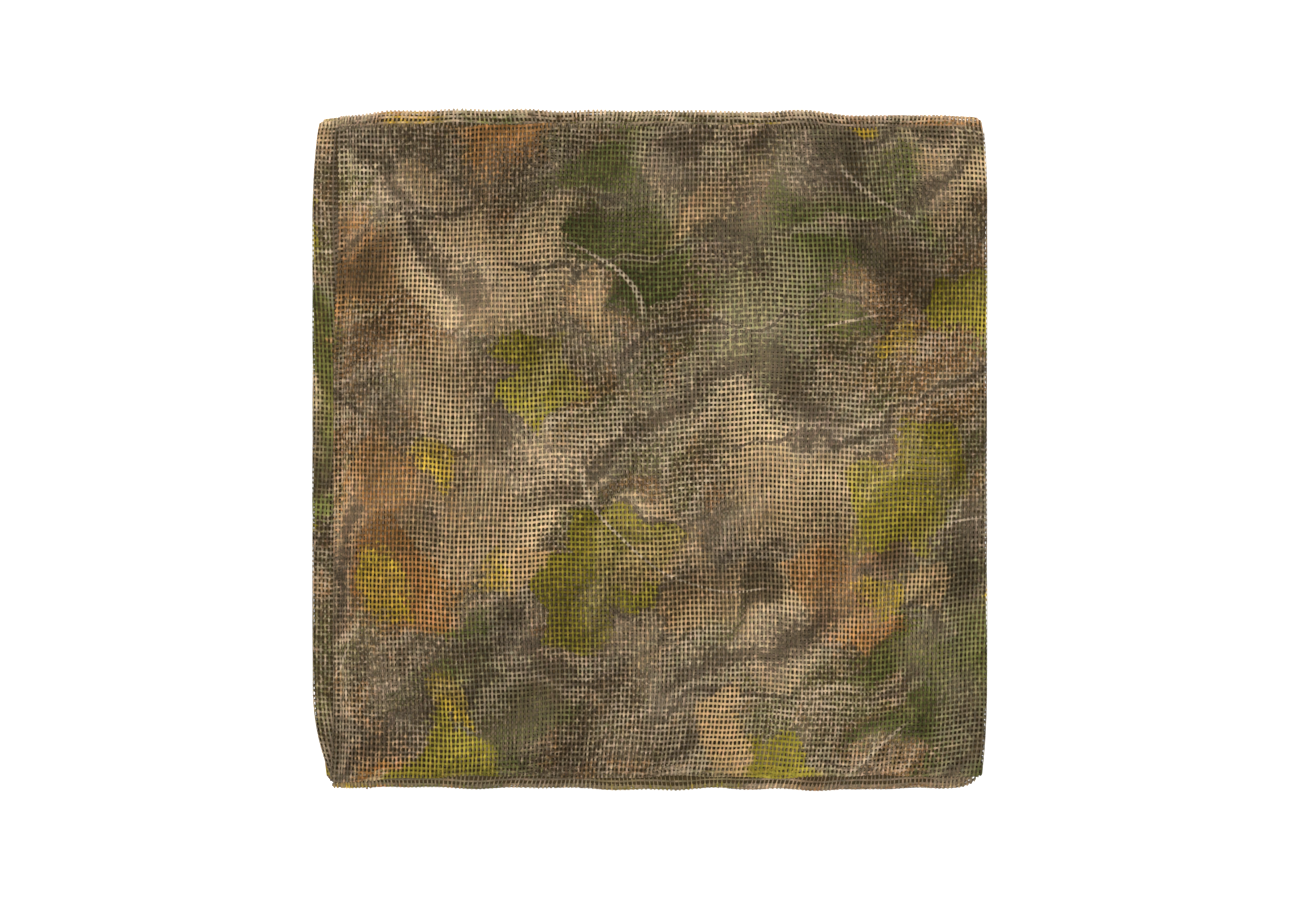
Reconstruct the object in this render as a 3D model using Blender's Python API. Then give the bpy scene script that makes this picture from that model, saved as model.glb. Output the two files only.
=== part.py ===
"""A camouflage net folded to a square bundle.

One long strip of netting, itself five plies thick, is laid back and forth along X in twelve layers.
Its turns lie at the left and right sides, and both of its free ends lie at the left.
"""

import math
from dataclasses import dataclass

import bmesh
import bpy

# Metres, +Z up. The bundle rests on z = 0, seen from above with X to the right and Y to the back.
LAYERS = 12
PLY_THICK = 0.00044  # one thickness of mesh, as it lies in the fold
PLIES = 5
LAYER_THICK = PLIES * PLY_THICK
LAYER_GAP = 0.0004  # air between one layer and the next
LAYER_PITCH = LAYER_THICK + LAYER_GAP
TURN_MID = LAYER_PITCH / 2  # radius of a turn, at the middle of the strip's thickness
TURN_OUT = TURN_MID + LAYER_THICK / 2  # radius of a turn, at its outer face
HALF_WIDTH = 0.1511  # from the middle to the furthest turn
HALF_DEPTH = 0.1517  # from the middle to the furthest front or back edge

MM = 0.001
TURN_STEPS = 5  # parts that a turn's half circle is divided into
END_ANGLES = (15, 50, 90)  # where a free end's rounding has sections, in degrees from its tip
FROM_TIP = (TURN_OUT, 0.0042, 0.007, 0.014, 0.026, 0.060)  # where a layer has sections
FROM_EDGE = (LAYER_THICK / 2, 0.008, 0.030, 0.085)  # where a section has points

SIDE_BITE = 0.045  # how far from the front or back edge a turn starts to draw in
EDGE_WAVE = 0.0006  # how much a layer's front and back edges wander
EDGE_WAVE_LENGTH = 0.11

CROWN = 0.05  # how much the loose middle of the stack stands up, as a share of its height
ROLL_X, ROLL_Y = 0.024, 0.020  # how far in from the sides the stack rolls down
FALL_X, FALL_Y = 0.12, 0.09  # and how far down, as shares of its height
SWELL_WIDE, SWELL_NARROW = 0.025, 0.012  # soft bumps in the stack, as shares of its height


@dataclass(frozen=True)
class Turn:
    """One end of a layer: its X at the front, middle and back, its front and back edges, its corner radius."""

    x_front: float
    x_mid: float
    x_back: float
    front: float
    back: float
    corner: float


# From the base up, in millimetres. The first and last rows are the strip's free ends.
TURNS_MM = (
    #  x_front   x_mid   x_back   front   back  corner
    (-144.0, -146.5, -145.5, -150.0, 149.4, 2.0),  # free end, under the stack
    (144.5, 147.8, 146.0, -150.5, 150.2, 7.0),
    (-145.0, -149.0, -147.0, -149.5, 150.8, 6.0),
    (145.0, 149.5, 147.5, -151.0, 150.5, 8.0),
    (-146.0, -147.8, -148.5, -150.6, 151.3, 5.0),
    (143.6, 148.2, 149.0, -150.2, 150.9, 7.0),
    (-143.5, -150.2, -147.0, -151.4, 150.2, 6.0),
    (144.4, 150.4, 148.6, -151.7, 151.4, 9.0),
    (-143.0, -149.0, -147.5, -150.9, 151.7, 7.0),
    (145.5, 149.3, 148.3, -151.2, 150.6, 8.0),
    (-141.5, -151.1, -147.8, -150.4, 150.9, 6.0),  # shows beyond the top layer's end
    (148.4, 151.1, 149.2, -150.4, 150.6, 5.0),  # rolls over from the top layer
    (-143.1, -141.2, -140.3, -150.8, 150.9, 3.0),  # free end, rolled, on top of the stack
)


def turns():
    """The rows of TURNS_MM, in metres."""
    return [Turn(*(value * MM for value in row)) for row in TURNS_MM]


def tip_x(turn, y):
    """How far out the end of a layer reaches at this depth: it draws in towards the front and the back."""
    edge_x, edge_y = (turn.x_front, turn.front) if y < 0 else (turn.x_back, turn.back)
    bite = max(0.0, 1 - (abs(edge_y) - abs(y)) / SIDE_BITE)
    return turn.x_mid + (edge_x - turn.x_mid) * min(bite, 1.0) ** 2


def corner_inset(turn, from_tip):
    """How far a layer's front and back edges stand in, this far from the layer's end."""
    short = max(0.0, turn.corner - from_tip)
    return turn.corner - math.sqrt(turn.corner**2 - short**2)


def loft(x, y):
    """The stack's height at this place, as a share of its pressed height."""
    near_x = max(0.0, 1 - (HALF_WIDTH - abs(x)) / ROLL_X)
    near_y = max(0.0, 1 - (HALF_DEPTH - abs(y)) / ROLL_Y)
    crown = CROWN * (1 - (x / HALF_WIDTH) ** 2) * (1 - (y / HALF_DEPTH) ** 2)
    wide = math.sin(2 * math.pi * (x / 0.23 + 0.10)) * math.sin(2 * math.pi * (y / 0.27 + 0.30))
    narrow = math.sin(2 * math.pi * (0.6 * x + 0.8 * y) / 0.14)
    fall = FALL_X * near_x**2 + FALL_Y * near_y**2
    return 1 + crown - fall + SWELL_WIDE * wide + SWELL_NARROW * narrow


def edges_at(layer, start, end, along, from_tip, nearest):
    """The front and back edges of a layer, at this share of the way along it."""
    wave = EDGE_WAVE * math.sin(2 * math.pi * along * 2 * HALF_WIDTH / EDGE_WAVE_LENGTH + 1.7 * layer)
    inset = corner_inset(nearest, from_tip)
    front = start.front + (end.front - start.front) * along + wave * along * (1 - along) * 4
    back = start.back + (end.back - start.back) * along - wave * along * (1 - along) * 4
    return front + inset, back - inset


def outline(front, back, half=LAYER_THICK / 2):
    """The section of the strip, as pairs of depth and height above its middle, with rounded edges."""
    depths = [front + d for d in FROM_EDGE] + [(front + back) / 2] + [back - d for d in reversed(FROM_EDGE)]
    lower = [(y, -half) for y in depths]
    upper = [(y, half) for y in reversed(depths)]
    bulge = half * (1 - math.sqrt(0.5))
    right = [(back - bulge, -half + bulge), (back, 0.0), (back - bulge, half - bulge)]
    left = [(front + bulge, half - bulge), (front, 0.0), (front + bulge, -half + bulge)]
    return lower + right + upper + left


def end_sections(layer, tip):
    """The rings of points that round a free end off, from its tip to its full thickness."""
    half = LAYER_THICK / 2
    middle = half + layer * LAYER_PITCH
    way = 1 if layer % 2 == 0 else -1
    for degrees in END_ANGLES:
        thick = half * math.sin(math.radians(degrees))
        from_tip = half * (1 - math.cos(math.radians(degrees)))
        inset = corner_inset(tip, from_tip)
        ring = []
        for y, up in outline(tip.front + inset, tip.back - inset, thick):
            ring.append(raised(tip_x(tip, y) + from_tip, y, middle + up * way))
        yield ring


def raised(x, y, z):
    """A point of the stack, moved from its pressed height to its lofted one."""
    return (x, y, z * loft(x, y))


def layer_sections(layer, start, end):
    """The rings of points along one flat layer, from the turn below it to the turn above it."""
    way = 1 if layer % 2 == 0 else -1
    middle = LAYER_THICK / 2 + layer * LAYER_PITCH
    first = FROM_TIP[1:] if layer == 0 else FROM_TIP
    last = FROM_TIP[1:] if layer == LAYERS - 1 else FROM_TIP
    length = abs(end.x_mid - start.x_mid)
    places = [(start, d, d / length, way) for d in first]
    places += [(None, length / 2, 0.5, way)]
    places += [(end, d, 1 - d / length, -way) for d in reversed(last)]
    for nearest, from_tip, along, inwards in places:
        front, back = edges_at(layer, start, end, along, from_tip, nearest or start)
        ring = []
        for y, up in outline(front, back):
            if nearest is None:
                x = (tip_x(start, y) + tip_x(end, y)) / 2
            else:
                x = tip_x(nearest, y) + inwards * from_tip
            ring.append(raised(x, y, middle + up * way))
        yield ring


def turn_sections(layer, turn):
    """The rings of points round the turn that joins this layer to the one above it.

    The strip turns over there, so its upper face is up in one layer and down in the next.
    """
    way = 1 if layer % 2 == 0 else -1
    middle = LAYER_THICK / 2 + (layer + 0.5) * LAYER_PITCH
    for step in range(1, TURN_STEPS):
        angle = math.pi * step / TURN_STEPS
        inset = corner_inset(turn, TURN_OUT - TURN_MID * math.sin(angle))
        ring = []
        for y, up in outline(turn.front + inset, turn.back - inset):
            reach = TURN_MID - up * way
            x = tip_x(turn, y) + way * (reach * math.sin(angle) - TURN_OUT)
            ring.append(raised(x, y, middle - reach * math.cos(angle)))
        yield ring


def strip_rings():
    """Every ring of points along the strip, from its free end at the base to the one on top."""
    rows = turns()
    yield from end_sections(0, rows[0])
    for layer in range(LAYERS):
        yield from layer_sections(layer, rows[layer], rows[layer + 1])
        if layer < LAYERS - 1:
            yield from turn_sections(layer, rows[layer + 1])
    yield from reversed(list(end_sections(LAYERS - 1, rows[LAYERS])))


def net_solid():
    """The folded strip as one closed solid, its rings joined by quads and its two ends capped."""
    solid = bmesh.new()
    rings = [[solid.verts.new(point) for point in ring] for ring in strip_rings()]
    for ring, following in zip(rings, rings[1:]):
        for here, there in zip(range(len(ring)), list(range(1, len(ring))) + [0]):
            solid.faces.new((ring[here], ring[there], following[there], following[here]))
    solid.faces.new(reversed(rings[0]))
    solid.faces.new(rings[-1])
    bmesh.ops.recalc_face_normals(solid, faces=solid.faces)
    mesh = bpy.data.meshes.new("net")
    solid.to_mesh(mesh)
    solid.free()
    return mesh


def mesh_cloth():
    """The net's printed mesh, in the grey brown that its pattern averages to."""
    material = bpy.data.materials.new("mesh_cloth")
    material.use_nodes = True
    shader = material.node_tree.nodes["Principled BSDF"]
    shader.inputs["Base Color"].default_value = (0.19, 0.15, 0.075, 1)
    shader.inputs["Roughness"].default_value = 0.85
    shader.inputs["Metallic"].default_value = 0.0
    return material


def main():
    """Builds the folded net, alone in the scene."""
    for left_over in list(bpy.data.objects):
        bpy.data.objects.remove(left_over)
    mesh = net_solid()
    mesh.materials.append(mesh_cloth())
    mesh.shade_smooth()
    mesh.set_sharp_from_angle(angle=math.radians(40))
    bpy.context.collection.objects.link(bpy.data.objects.new("net", mesh))


main()
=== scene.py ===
"""A camouflage net, folded to a square bundle, with its mesh of yarns, its print and its rolled edges.

The net is one sheet of open mesh. It is folded lengthwise into five plies, and the strip that this makes
is laid back and forth in twelve layers. The plies that show are woven from separate yarns, and the plies
inside are one thin folded sheet.
"""

import logging
import math
from dataclasses import dataclass, field
from enum import Enum

import bpy
import numpy as np
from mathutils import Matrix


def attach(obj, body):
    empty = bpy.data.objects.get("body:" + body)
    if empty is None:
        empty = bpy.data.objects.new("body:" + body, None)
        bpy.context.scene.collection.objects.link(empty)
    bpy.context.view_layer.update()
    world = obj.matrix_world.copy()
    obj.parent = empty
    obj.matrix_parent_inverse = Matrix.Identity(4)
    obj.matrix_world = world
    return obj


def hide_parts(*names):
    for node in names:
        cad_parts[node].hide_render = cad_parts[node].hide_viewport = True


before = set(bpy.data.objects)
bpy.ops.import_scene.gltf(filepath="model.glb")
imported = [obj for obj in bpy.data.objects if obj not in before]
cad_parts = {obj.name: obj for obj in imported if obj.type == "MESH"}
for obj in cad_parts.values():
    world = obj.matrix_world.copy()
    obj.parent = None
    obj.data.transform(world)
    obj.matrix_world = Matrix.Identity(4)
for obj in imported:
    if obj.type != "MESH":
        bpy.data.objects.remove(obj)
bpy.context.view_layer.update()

LOG = logging.getLogger("camouflage_net")
MM = 0.001

# The frame's size, and how far one of its pixels reaches on the top of the net.
IMAGE_WIDTH, IMAGE_HEIGHT = 1300, 900
METRES_A_PIXEL = 0.000445

Array = np.ndarray
Amount = np.ndarray | float
Colour = tuple[float, float, float, float]
Triple = tuple[float, float, float]
Socket = bpy.types.NodeSocket


# ---------------------------------------------------------------- how the net is folded


@dataclass(frozen=True)
class Turn:
    """One end of a layer: its X at the front, middle and back, its two edges and its two corner radii."""

    x_front: float
    x_mid: float
    x_back: float
    front: float
    back: float
    front_corner: float
    back_corner: float

    def tip(self, y: Array) -> Array:
        """Finds how far out this end reaches.

        Args:
            y: Depths, in metres.

        Returns:
            The X of the tip at each depth.
        """
        edge_x = np.where(y < 0, self.x_front, self.x_back)
        edge_y = np.where(y < 0, abs(self.front), abs(self.back))
        bite = np.clip(1 - (edge_y - np.abs(y)) / SIDE_BITE, 0, 1)
        return self.x_mid + (edge_x - self.x_mid) * bite**2

    def corner_inset(self, from_tip: Array, y: Array) -> Array:
        """Finds how far the front and back edges stand in near this end.

        Args:
            from_tip: Distances from the tip, in metres.
            y: Depths, in metres.

        Returns:
            The inset at each distance.
        """
        corner = np.where(y < 0, self.front_corner, self.back_corner)
        short = np.clip(corner - from_tip, 0, corner)
        return corner - np.sqrt(corner**2 - short**2)


SIDE_BITE = 0.045
FRONT_RIGHT_CORNER = 10.5 * MM  # of all but the top layer
TOP_RIGHT_CORNER = 3.0 * MM
BACK_LEFT_CORNER = 2.2 * MM
CORNER_TUCK, CORNER_TUCK_REACH = 4.0 * MM, 14 * MM  # how the top ply's front left corner stands out
# The ends of the layers, from the base up. The last column is the front corner's radius at a left end, and
# the back corner's at a right end.
TURNS_MM = (
    #  x_front   x_mid   x_back   front   back  corner
    (-144.0, -146.5, -145.5, -150.0, 149.4, 2.0),  # free end, under the stack
    (144.5, 147.8, 146.0, -150.5, 150.2, 7.0),
    (-145.0, -149.0, -147.0, -149.5, 150.8, 6.0),
    (145.0, 149.5, 147.5, -151.0, 150.5, 8.0),
    (-146.0, -147.8, -148.5, -150.6, 151.3, 5.0),
    (143.6, 148.2, 149.0, -150.2, 150.9, 7.0),
    (-143.5, -150.2, -147.0, -151.4, 150.2, 6.0),
    (144.4, 150.4, 148.6, -151.7, 151.4, 9.0),
    (-143.0, -149.0, -147.5, -150.9, 151.7, 7.0),
    (145.5, 149.3, 148.3, -151.2, 150.6, 8.0),
    (-141.5, -151.1, -147.8, -150.4, 150.9, 6.0),  # shows beyond the top layer's end
    (148.4, 151.1, 149.2, -150.4, 150.6, 5.0),  # rolls over from the top layer
    (-143.1, -141.2, -140.3, -150.8, 150.9, 3.0),  # free end, rolled, on top of the stack
)

# How far each ply fold stands in from the strip's own edge: the back edge for even folds and the front
# edge for odd ones. The first and last are the net's two long edges.
FOLD_INSETS_MM = (3.4, 1.6, 1.3, 1.3, 2.0, 2.0)
TOP_INSETS_MM = (6.4, 5.2, -0.6, 0.2, 2.2, 2.6)
TOP_ROWS = (11, 12)
# Where the stack's back and front edges swell out: the middle, the reach and how far.
BACK_SWELLS_MM = ((-57, 22, 1.2), (23, 9, 1.4), (92, 13, -1.7))
FRONT_SWELLS_MM = ((-18, 48, 1.2), (72, 55, 1.6), (-128, 10, 1.2))
SHADED = 0.29  # painted shade: the tone of a ply that shows through another's holes
PLY_REACH = 290 * MM  # about how far one ply reaches from fold to fold
NET_REACH = 300 * MM  # and how far the bundle does
BAND_SHARE = 0.96  # how much of its strip of the bake map a band fills
TINY = 1e-9
SAME_PLACE = 1e-6  # steps closer than this are one


@dataclass(frozen=True)
class Spot:
    """Where points of the strip lie: their X, Y and Z, and which way its printed side's height runs there."""

    x: Array
    y: Array
    z: Array
    up_x: Array
    up_z: Array


@dataclass(frozen=True)
class Bundle:
    """The way the net is folded: turns strip distances into places in the bundle.

    A strip distance runs from the top layer's free end at the left, along each layer and round each turn,
    to the free end under the stack. A net distance runs from the net's first long edge, at the back of the
    top ply, across its plies.
    """

    layers: int = 12
    plies: int = 5
    ply_thick: float = 0.44 * MM
    layer_gap: float = 0.4 * MM
    half_width: float = 151.1 * MM
    half_depth: float = 151.7 * MM
    crown: float = 0.05
    roll_x: float = 24 * MM
    roll_y: float = 20 * MM
    fall_x: float = 0.12
    fall_y: float = 0.09
    swell_wide: float = 0.025
    swell_narrow: float = 0.012
    inset: float = 0.0
    edge_inset: float = 0.0
    ply_squeeze: float = 1.0

    @property
    def layer_thick(self) -> float:
        """The thickness of the plies of one layer together."""
        return self.plies * self.ply_thick

    @property
    def layer_pitch(self) -> float:
        """The height from one layer to the next."""
        return self.layer_thick + self.layer_gap

    @property
    def turn_mid(self) -> float:
        """The radius of a turn, at the middle of the strip's thickness."""
        return self.layer_pitch / 2

    @property
    def half_turn(self) -> float:
        """The way round a turn, at the middle of the strip's thickness."""
        return math.pi * self.turn_mid

    @property
    def turn_out(self) -> float:
        """The radius of a turn, at its outer face."""
        return self.turn_mid + self.layer_thick / 2

    @property
    def fold_radius(self) -> float:
        """The radius of the fold that joins one ply to the next."""
        return self.ply_thick * self.ply_squeeze / 2

    def rows(self) -> list[Turn]:
        """The ends of the layers from the base up, drawn in by the inset.

        Returns:
            One row of the stack for each end, as a Turn.
        """
        rows = []
        for number, (x_front, x_mid, x_back, front, back, corner) in enumerate(TURNS_MM):
            side = math.copysign(self.inset, x_mid)
            right_corner = TOP_RIGHT_CORNER if number in TOP_ROWS else FRONT_RIGHT_CORNER
            rows.append(
                Turn(
                    x_front * MM - side,
                    x_mid * MM - side,
                    x_back * MM - side,
                    front * MM + self.edge_inset,
                    back * MM - self.edge_inset,
                    right_corner if x_mid > 0 else corner * MM,
                    corner * MM if x_mid > 0 else BACK_LEFT_CORNER,
                )
            )
        return rows

    def middle(self, layer: int) -> float:
        """The height of a layer's middle before the stack is lofted."""
        return self.layer_thick / 2 + layer * self.layer_pitch

    def level(self, ply: Array | int) -> Amount:
        """The height of a ply above the middle of its layer, on the strip's upper side at the top layer."""
        return ((self.plies - 1) / 2 - ply) * self.ply_thick * self.ply_squeeze

    def loft(self, x: Array, y: Array) -> Array:
        """Finds how the soft stack swells and rolls.

        Args:
            x: Places from left to right, in metres.
            y: Places from front to back, in metres.

        Returns:
            The stack's height at each place, as a share of its pressed height.
        """
        near_x = np.clip(1 - (self.half_width - np.abs(x)) / self.roll_x, 0, None)
        near_y = np.clip(1 - (self.half_depth - np.abs(y)) / self.roll_y, 0, None)
        crown = self.crown * (1 - (x / self.half_width) ** 2) * (1 - (y / self.half_depth) ** 2)
        wide = np.sin(2 * np.pi * (x / 0.23 + 0.10)) * np.sin(2 * np.pi * (y / 0.27 + 0.30))
        narrow = np.sin(2 * np.pi * (0.6 * x + 0.8 * y) / 0.14)
        fall = self.fall_x * near_x**2 + self.fall_y * near_y**2
        return 1 + crown - fall + self.swell_wide * wide + self.swell_narrow * narrow

    def knots(self, y: Array, level: Array) -> tuple[Array, Array]:
        """Finds matching strip distances at the middle of each layer, and at the strip's two ends.

        A strip distance is measured at the middle of the strip's thickness and depth. Elsewhere the turns are
        wider or narrower, so the cloth's own way is a little longer or shorter, and the mesh evens that out.

        Args:
            y: Depths, in metres.
            level: Heights above the strip's middle, in metres.

        Returns:
            The strip distances of the knots, and the ways along the cloth, with the knots as first axis.
        """
        rows = self.rows()
        shape = np.broadcast(y, level).shape
        nominal, own = [0.0], [np.zeros(shape)]
        at, own_at = 0.0, np.zeros(shape)
        for layer in range(self.layers - 1, -1, -1):
            length = self.flat_length(layer)
            own_length = self.straight(rows, layer, y)[1] + np.zeros(shape)
            nominal.append(at + length / 2)
            own.append(own_at + own_length / 2)
            at, own_at = at + length, own_at + own_length
            if layer:
                at += self.half_turn
                own_at = own_at + math.pi * self.turn_radius(layer, level)
        nominal.append(at)
        own.append(own_at)
        return np.array(nominal), np.stack(own)

    def own_way(self, s: Array, y: Array, level: Array) -> Array:
        """Turns strip distances into the cloth's own way along it at this depth and height.

        Args:
            s: Strip distances, in metres.
            y: Depths, in metres.
            level: Heights above the strip's middle, in metres.

        Returns:
            The cloth's own distances, in metres.
        """
        s, y, level = (np.array(a, float) for a in np.broadcast_arrays(s, y, level))
        nominal, own = self.knots(y, level)
        way = s.copy()
        for knot in range(len(nominal) - 1):
            here = s >= nominal[knot]
            ratio = (own[knot + 1] - own[knot]) / (nominal[knot + 1] - nominal[knot])
            way[here] = (own[knot] + (s - nominal[knot]) * ratio)[here]
        return way

    def turn_span(self, turn: int, level: float) -> tuple[float, float]:
        """Finds where a turn begins and ends.

        Args:
            turn: The turn's row, from 1 over the base layer to 11 under the top layer.
            level: The height above the strip's middle, in metres.

        Returns:
            The strip distances of its upper and lower ends, halfway between front and back.
        """
        nominal, own = self.knots(np.zeros(1), np.array([level]))
        knot = self.layers - turn
        length = self.flat_length(turn)
        ratio = (nominal[knot + 1] - nominal[knot]) / (own[knot + 1][0] - own[knot][0])
        low = nominal[knot] + length / 2 * ratio
        return low, low + math.pi * self.turn_radius(turn, level) * ratio

    def turn_radius(self, layer: int, level: Array) -> Array:
        """The radius, at this height above the strip's middle, of the turn at a layer's lower end."""
        return self.turn_mid + (1 if layer % 2 else -1) * level

    def edge_draw(self, x: Array, y: Array) -> Array:
        """Finds how far the stack's front or back edge stands in.

        Args:
            x: Places from left to right, in metres.
            y: Depths, whose sign tells front from back.

        Returns:
            The inset at each place: the back corners droop, and both edges bow out unevenly.
        """
        back = 3.3 * np.clip((-x - 117 * MM) / (31 * MM), 0, 1) ** 1.1
        back = back + 2.7 * np.clip((x - 72 * MM) / (70 * MM), 0, 1) ** 1.3
        front = np.zeros_like(x)
        for middle, reach, out in BACK_SWELLS_MM:
            back = back - out * np.exp(-(((x / MM - middle) / reach) ** 2))
        for middle, reach, out in FRONT_SWELLS_MM:
            front = front - out * np.exp(-(((x / MM - middle) / reach) ** 2))
        return np.where(y > 0, back, front) * MM

    def straight(self, rows: list[Turn], layer: int, y: Array) -> tuple[Array, Array, int]:
        """Finds the flat part of a layer.

        Args:
            rows: The ends of the layers.
            layer: The layer, from 0 at the base.
            y: Depths, in metres.

        Returns:
            The X where the flat part begins, its length, and 1 where it runs right with its printed side up,
            or -1 where it runs left with that side down.
        """
        way = 1 if layer % 2 else -1
        from_end = self.layer_thick / 2 if layer == self.layers - 1 else self.turn_out
        to_end = self.layer_thick / 2 if layer == 0 else self.turn_out
        start = rows[layer + 1].tip(y) + way * from_end
        stop = rows[layer].tip(y) - way * to_end
        return start, (stop - start) * way, way

    def flat_length(self, layer: int) -> float:
        """The length of a layer's flat part, halfway between front and back."""
        return float(self.straight(self.rows(), layer, np.zeros(1))[1][0])

    def walk(self, way: Array, y: Array, level: Array) -> Spot:
        """Places points that are given by the cloth's own way along the strip.

        Args:
            way: The ways. Those below 0 go round the top layer's rolled end.
            y: Depths, in metres.
            level: Heights above the strip's middle, in metres.

        Returns:
            Where they lie, before the stack is lofted.
        """
        left, y, level = (np.array(a, float) for a in np.broadcast_arrays(way, y, level))
        x, z, inset = np.zeros_like(left), np.zeros_like(left), np.zeros_like(left)
        up_x, up_z, done = np.zeros_like(left), np.ones_like(left), np.zeros(left.shape, bool)
        rows = self.rows()
        for layer in range(self.layers - 1, -1, -1):
            start, length, side = self.straight(rows, layer, y)
            last = layer == 0
            here = ~done & ((left <= length) | last)
            x[here] = (start + side * left)[here]
            z[here] = (self.middle(layer) + side * level)[here]
            up_z[here] = side
            near_upper = np.abs(x - rows[layer + 1].tip(y))
            near_lower = np.abs(x - rows[layer].tip(y))
            inset[here] = np.maximum(
                rows[layer + 1].corner_inset(near_upper, y), rows[layer].corner_inset(near_lower, y)
            )[here]
            done |= here
            if layer == self.layers - 1:
                self.roll_end(here & (left < 0), left, level, x, z, up_x, up_z, start)
            left = left - length
            if last:
                break
            radius = self.turn_radius(layer, level)
            here = ~done & (left <= np.pi * radius)
            angle = left / radius
            x[here] = (start + side * length + side * radius * np.sin(angle))[here]
            z[here] = (self.middle(layer) - self.layer_pitch / 2 + radius * np.cos(angle))[here]
            up_x[here] = np.sin(angle)[here]
            up_z[here] = (side * np.cos(angle))[here]
            inset[here] = rows[layer].corner_inset(self.turn_out - radius * np.sin(angle), y)[here]
            done |= here
            left = left - np.pi * radius
        inset = inset + self.edge_draw(x, y)
        drawn_in = y - np.sign(y) * inset * (np.abs(y) / self.half_depth) ** 24
        return Spot(x, drawn_in, z, up_x, up_z)

    def roll_end(
        self,
        here: Array,
        left: Array,
        level: Array,
        x: Array,
        z: Array,
        up_x: Array,
        up_z: Array,
        start: Array,
    ) -> None:
        """Bends the plies down round the top layer's free end.

        Args:
            here: Which points lie beyond the layer's flat part.
            left: Their strip distances, below 0.
            level: Their heights above the strip's middle.
            x: Places to change.
            z: Heights to change.
            up_x: The height's own direction, to change.
            up_z: The height's own direction, to change.
            start: The X where the flat part begins.
        """
        radius = np.maximum(level, self.ply_thick / 4)
        angle = -left / radius
        x[here] = (start - radius * np.sin(angle))[here]
        z[here] = (self.middle(self.layers - 1) + radius * np.cos(angle))[here]
        up_x[here] = -np.sin(angle)[here]
        up_z[here] = np.cos(angle)[here]

    def folds(self, s: Array) -> Array:
        """Finds where the ply folds and the net's long edges lie.

        Args:
            s: Strip distances, in metres.

        Returns:
            Their depths, with the net's first long edge, its ply folds and its last long edge as first axis.
        """
        rows, s = self.rows(), np.asarray(s, float)
        depths = np.zeros((self.plies + 1, *s.shape))
        left, done = s.copy(), np.zeros(s.shape, bool)
        for layer in range(self.layers - 1, -1, -1):
            length = self.flat_length(layer)
            reach = length + self.half_turn
            here = ~done & ((left <= reach) | (layer == 0))
            share = np.clip(left / length, 0, 1)
            share = share * share * (3 - 2 * share)
            for fold in range(self.plies + 1):
                upper, lower = (self.fold_depth(rows, row, fold) for row in (layer + 1, layer))
                depths[fold][here] = (upper + (lower - upper) * share)[here]
            done |= here
            left = left - reach
        for fold in range(self.plies + 1):
            wander = 0.45 * np.sin(s / 0.0131 + 2.1 * fold) + 0.30 * np.sin(s / 0.0049 + 1.3 * fold + 0.4)
            depths[fold] += wander * MM
        depths[1] -= CORNER_TUCK * np.exp(-np.clip(s, 0, None) / CORNER_TUCK_REACH)
        # The plies under the top one round off inside its front right corner.
        top_turn = self.flat_length(self.layers - 1) + self.half_turn / 2
        short = np.clip(FRONT_RIGHT_CORNER + 1.5 * MM - np.abs(s - top_turn), 0, FRONT_RIGHT_CORNER)
        round_off = FRONT_RIGHT_CORNER - np.sqrt(FRONT_RIGHT_CORNER**2 - short**2)
        for fold, share in ((3, 0.85), (5, 0.60)):
            depths[fold] += share * round_off
        return depths

    def fold_depth(self, rows: list[Turn], row: int, fold: int) -> float:
        """Finds the depth of one ply fold at one end of a layer.

        Args:
            rows: The ends of the layers.
            row: Which end, from 0 at the base.
            fold: Which fold, from 0 at the net's first long edge.

        Returns:
            Its depth, in metres.
        """
        insets = TOP_INSETS_MM if row in TOP_ROWS else FOLD_INSETS_MM
        uneven = 0.0 if row in TOP_ROWS else 0.9 * math.sin(2.4 * row + 1.9 * fold)
        inset = (insets[fold] + uneven) * MM
        return rows[row].front + inset if fold % 2 else rows[row].back - inset

    def fold_starts(self, s: Array) -> Array:
        """The net distance to each fold and long edge, with a first axis as in folds.

        Args:
            s: Strip distances, in metres.

        Returns:
            The net distances, in metres.
        """
        depths = self.folds(s)
        arc = (np.pi / 2 - 1) * self.fold_radius
        lengths = np.abs(np.diff(depths, axis=0)) + 2 * arc
        lengths[0] -= arc
        lengths[-1] -= arc
        return np.concatenate([np.zeros((1, *np.shape(s))), np.cumsum(lengths, axis=0)])

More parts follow.
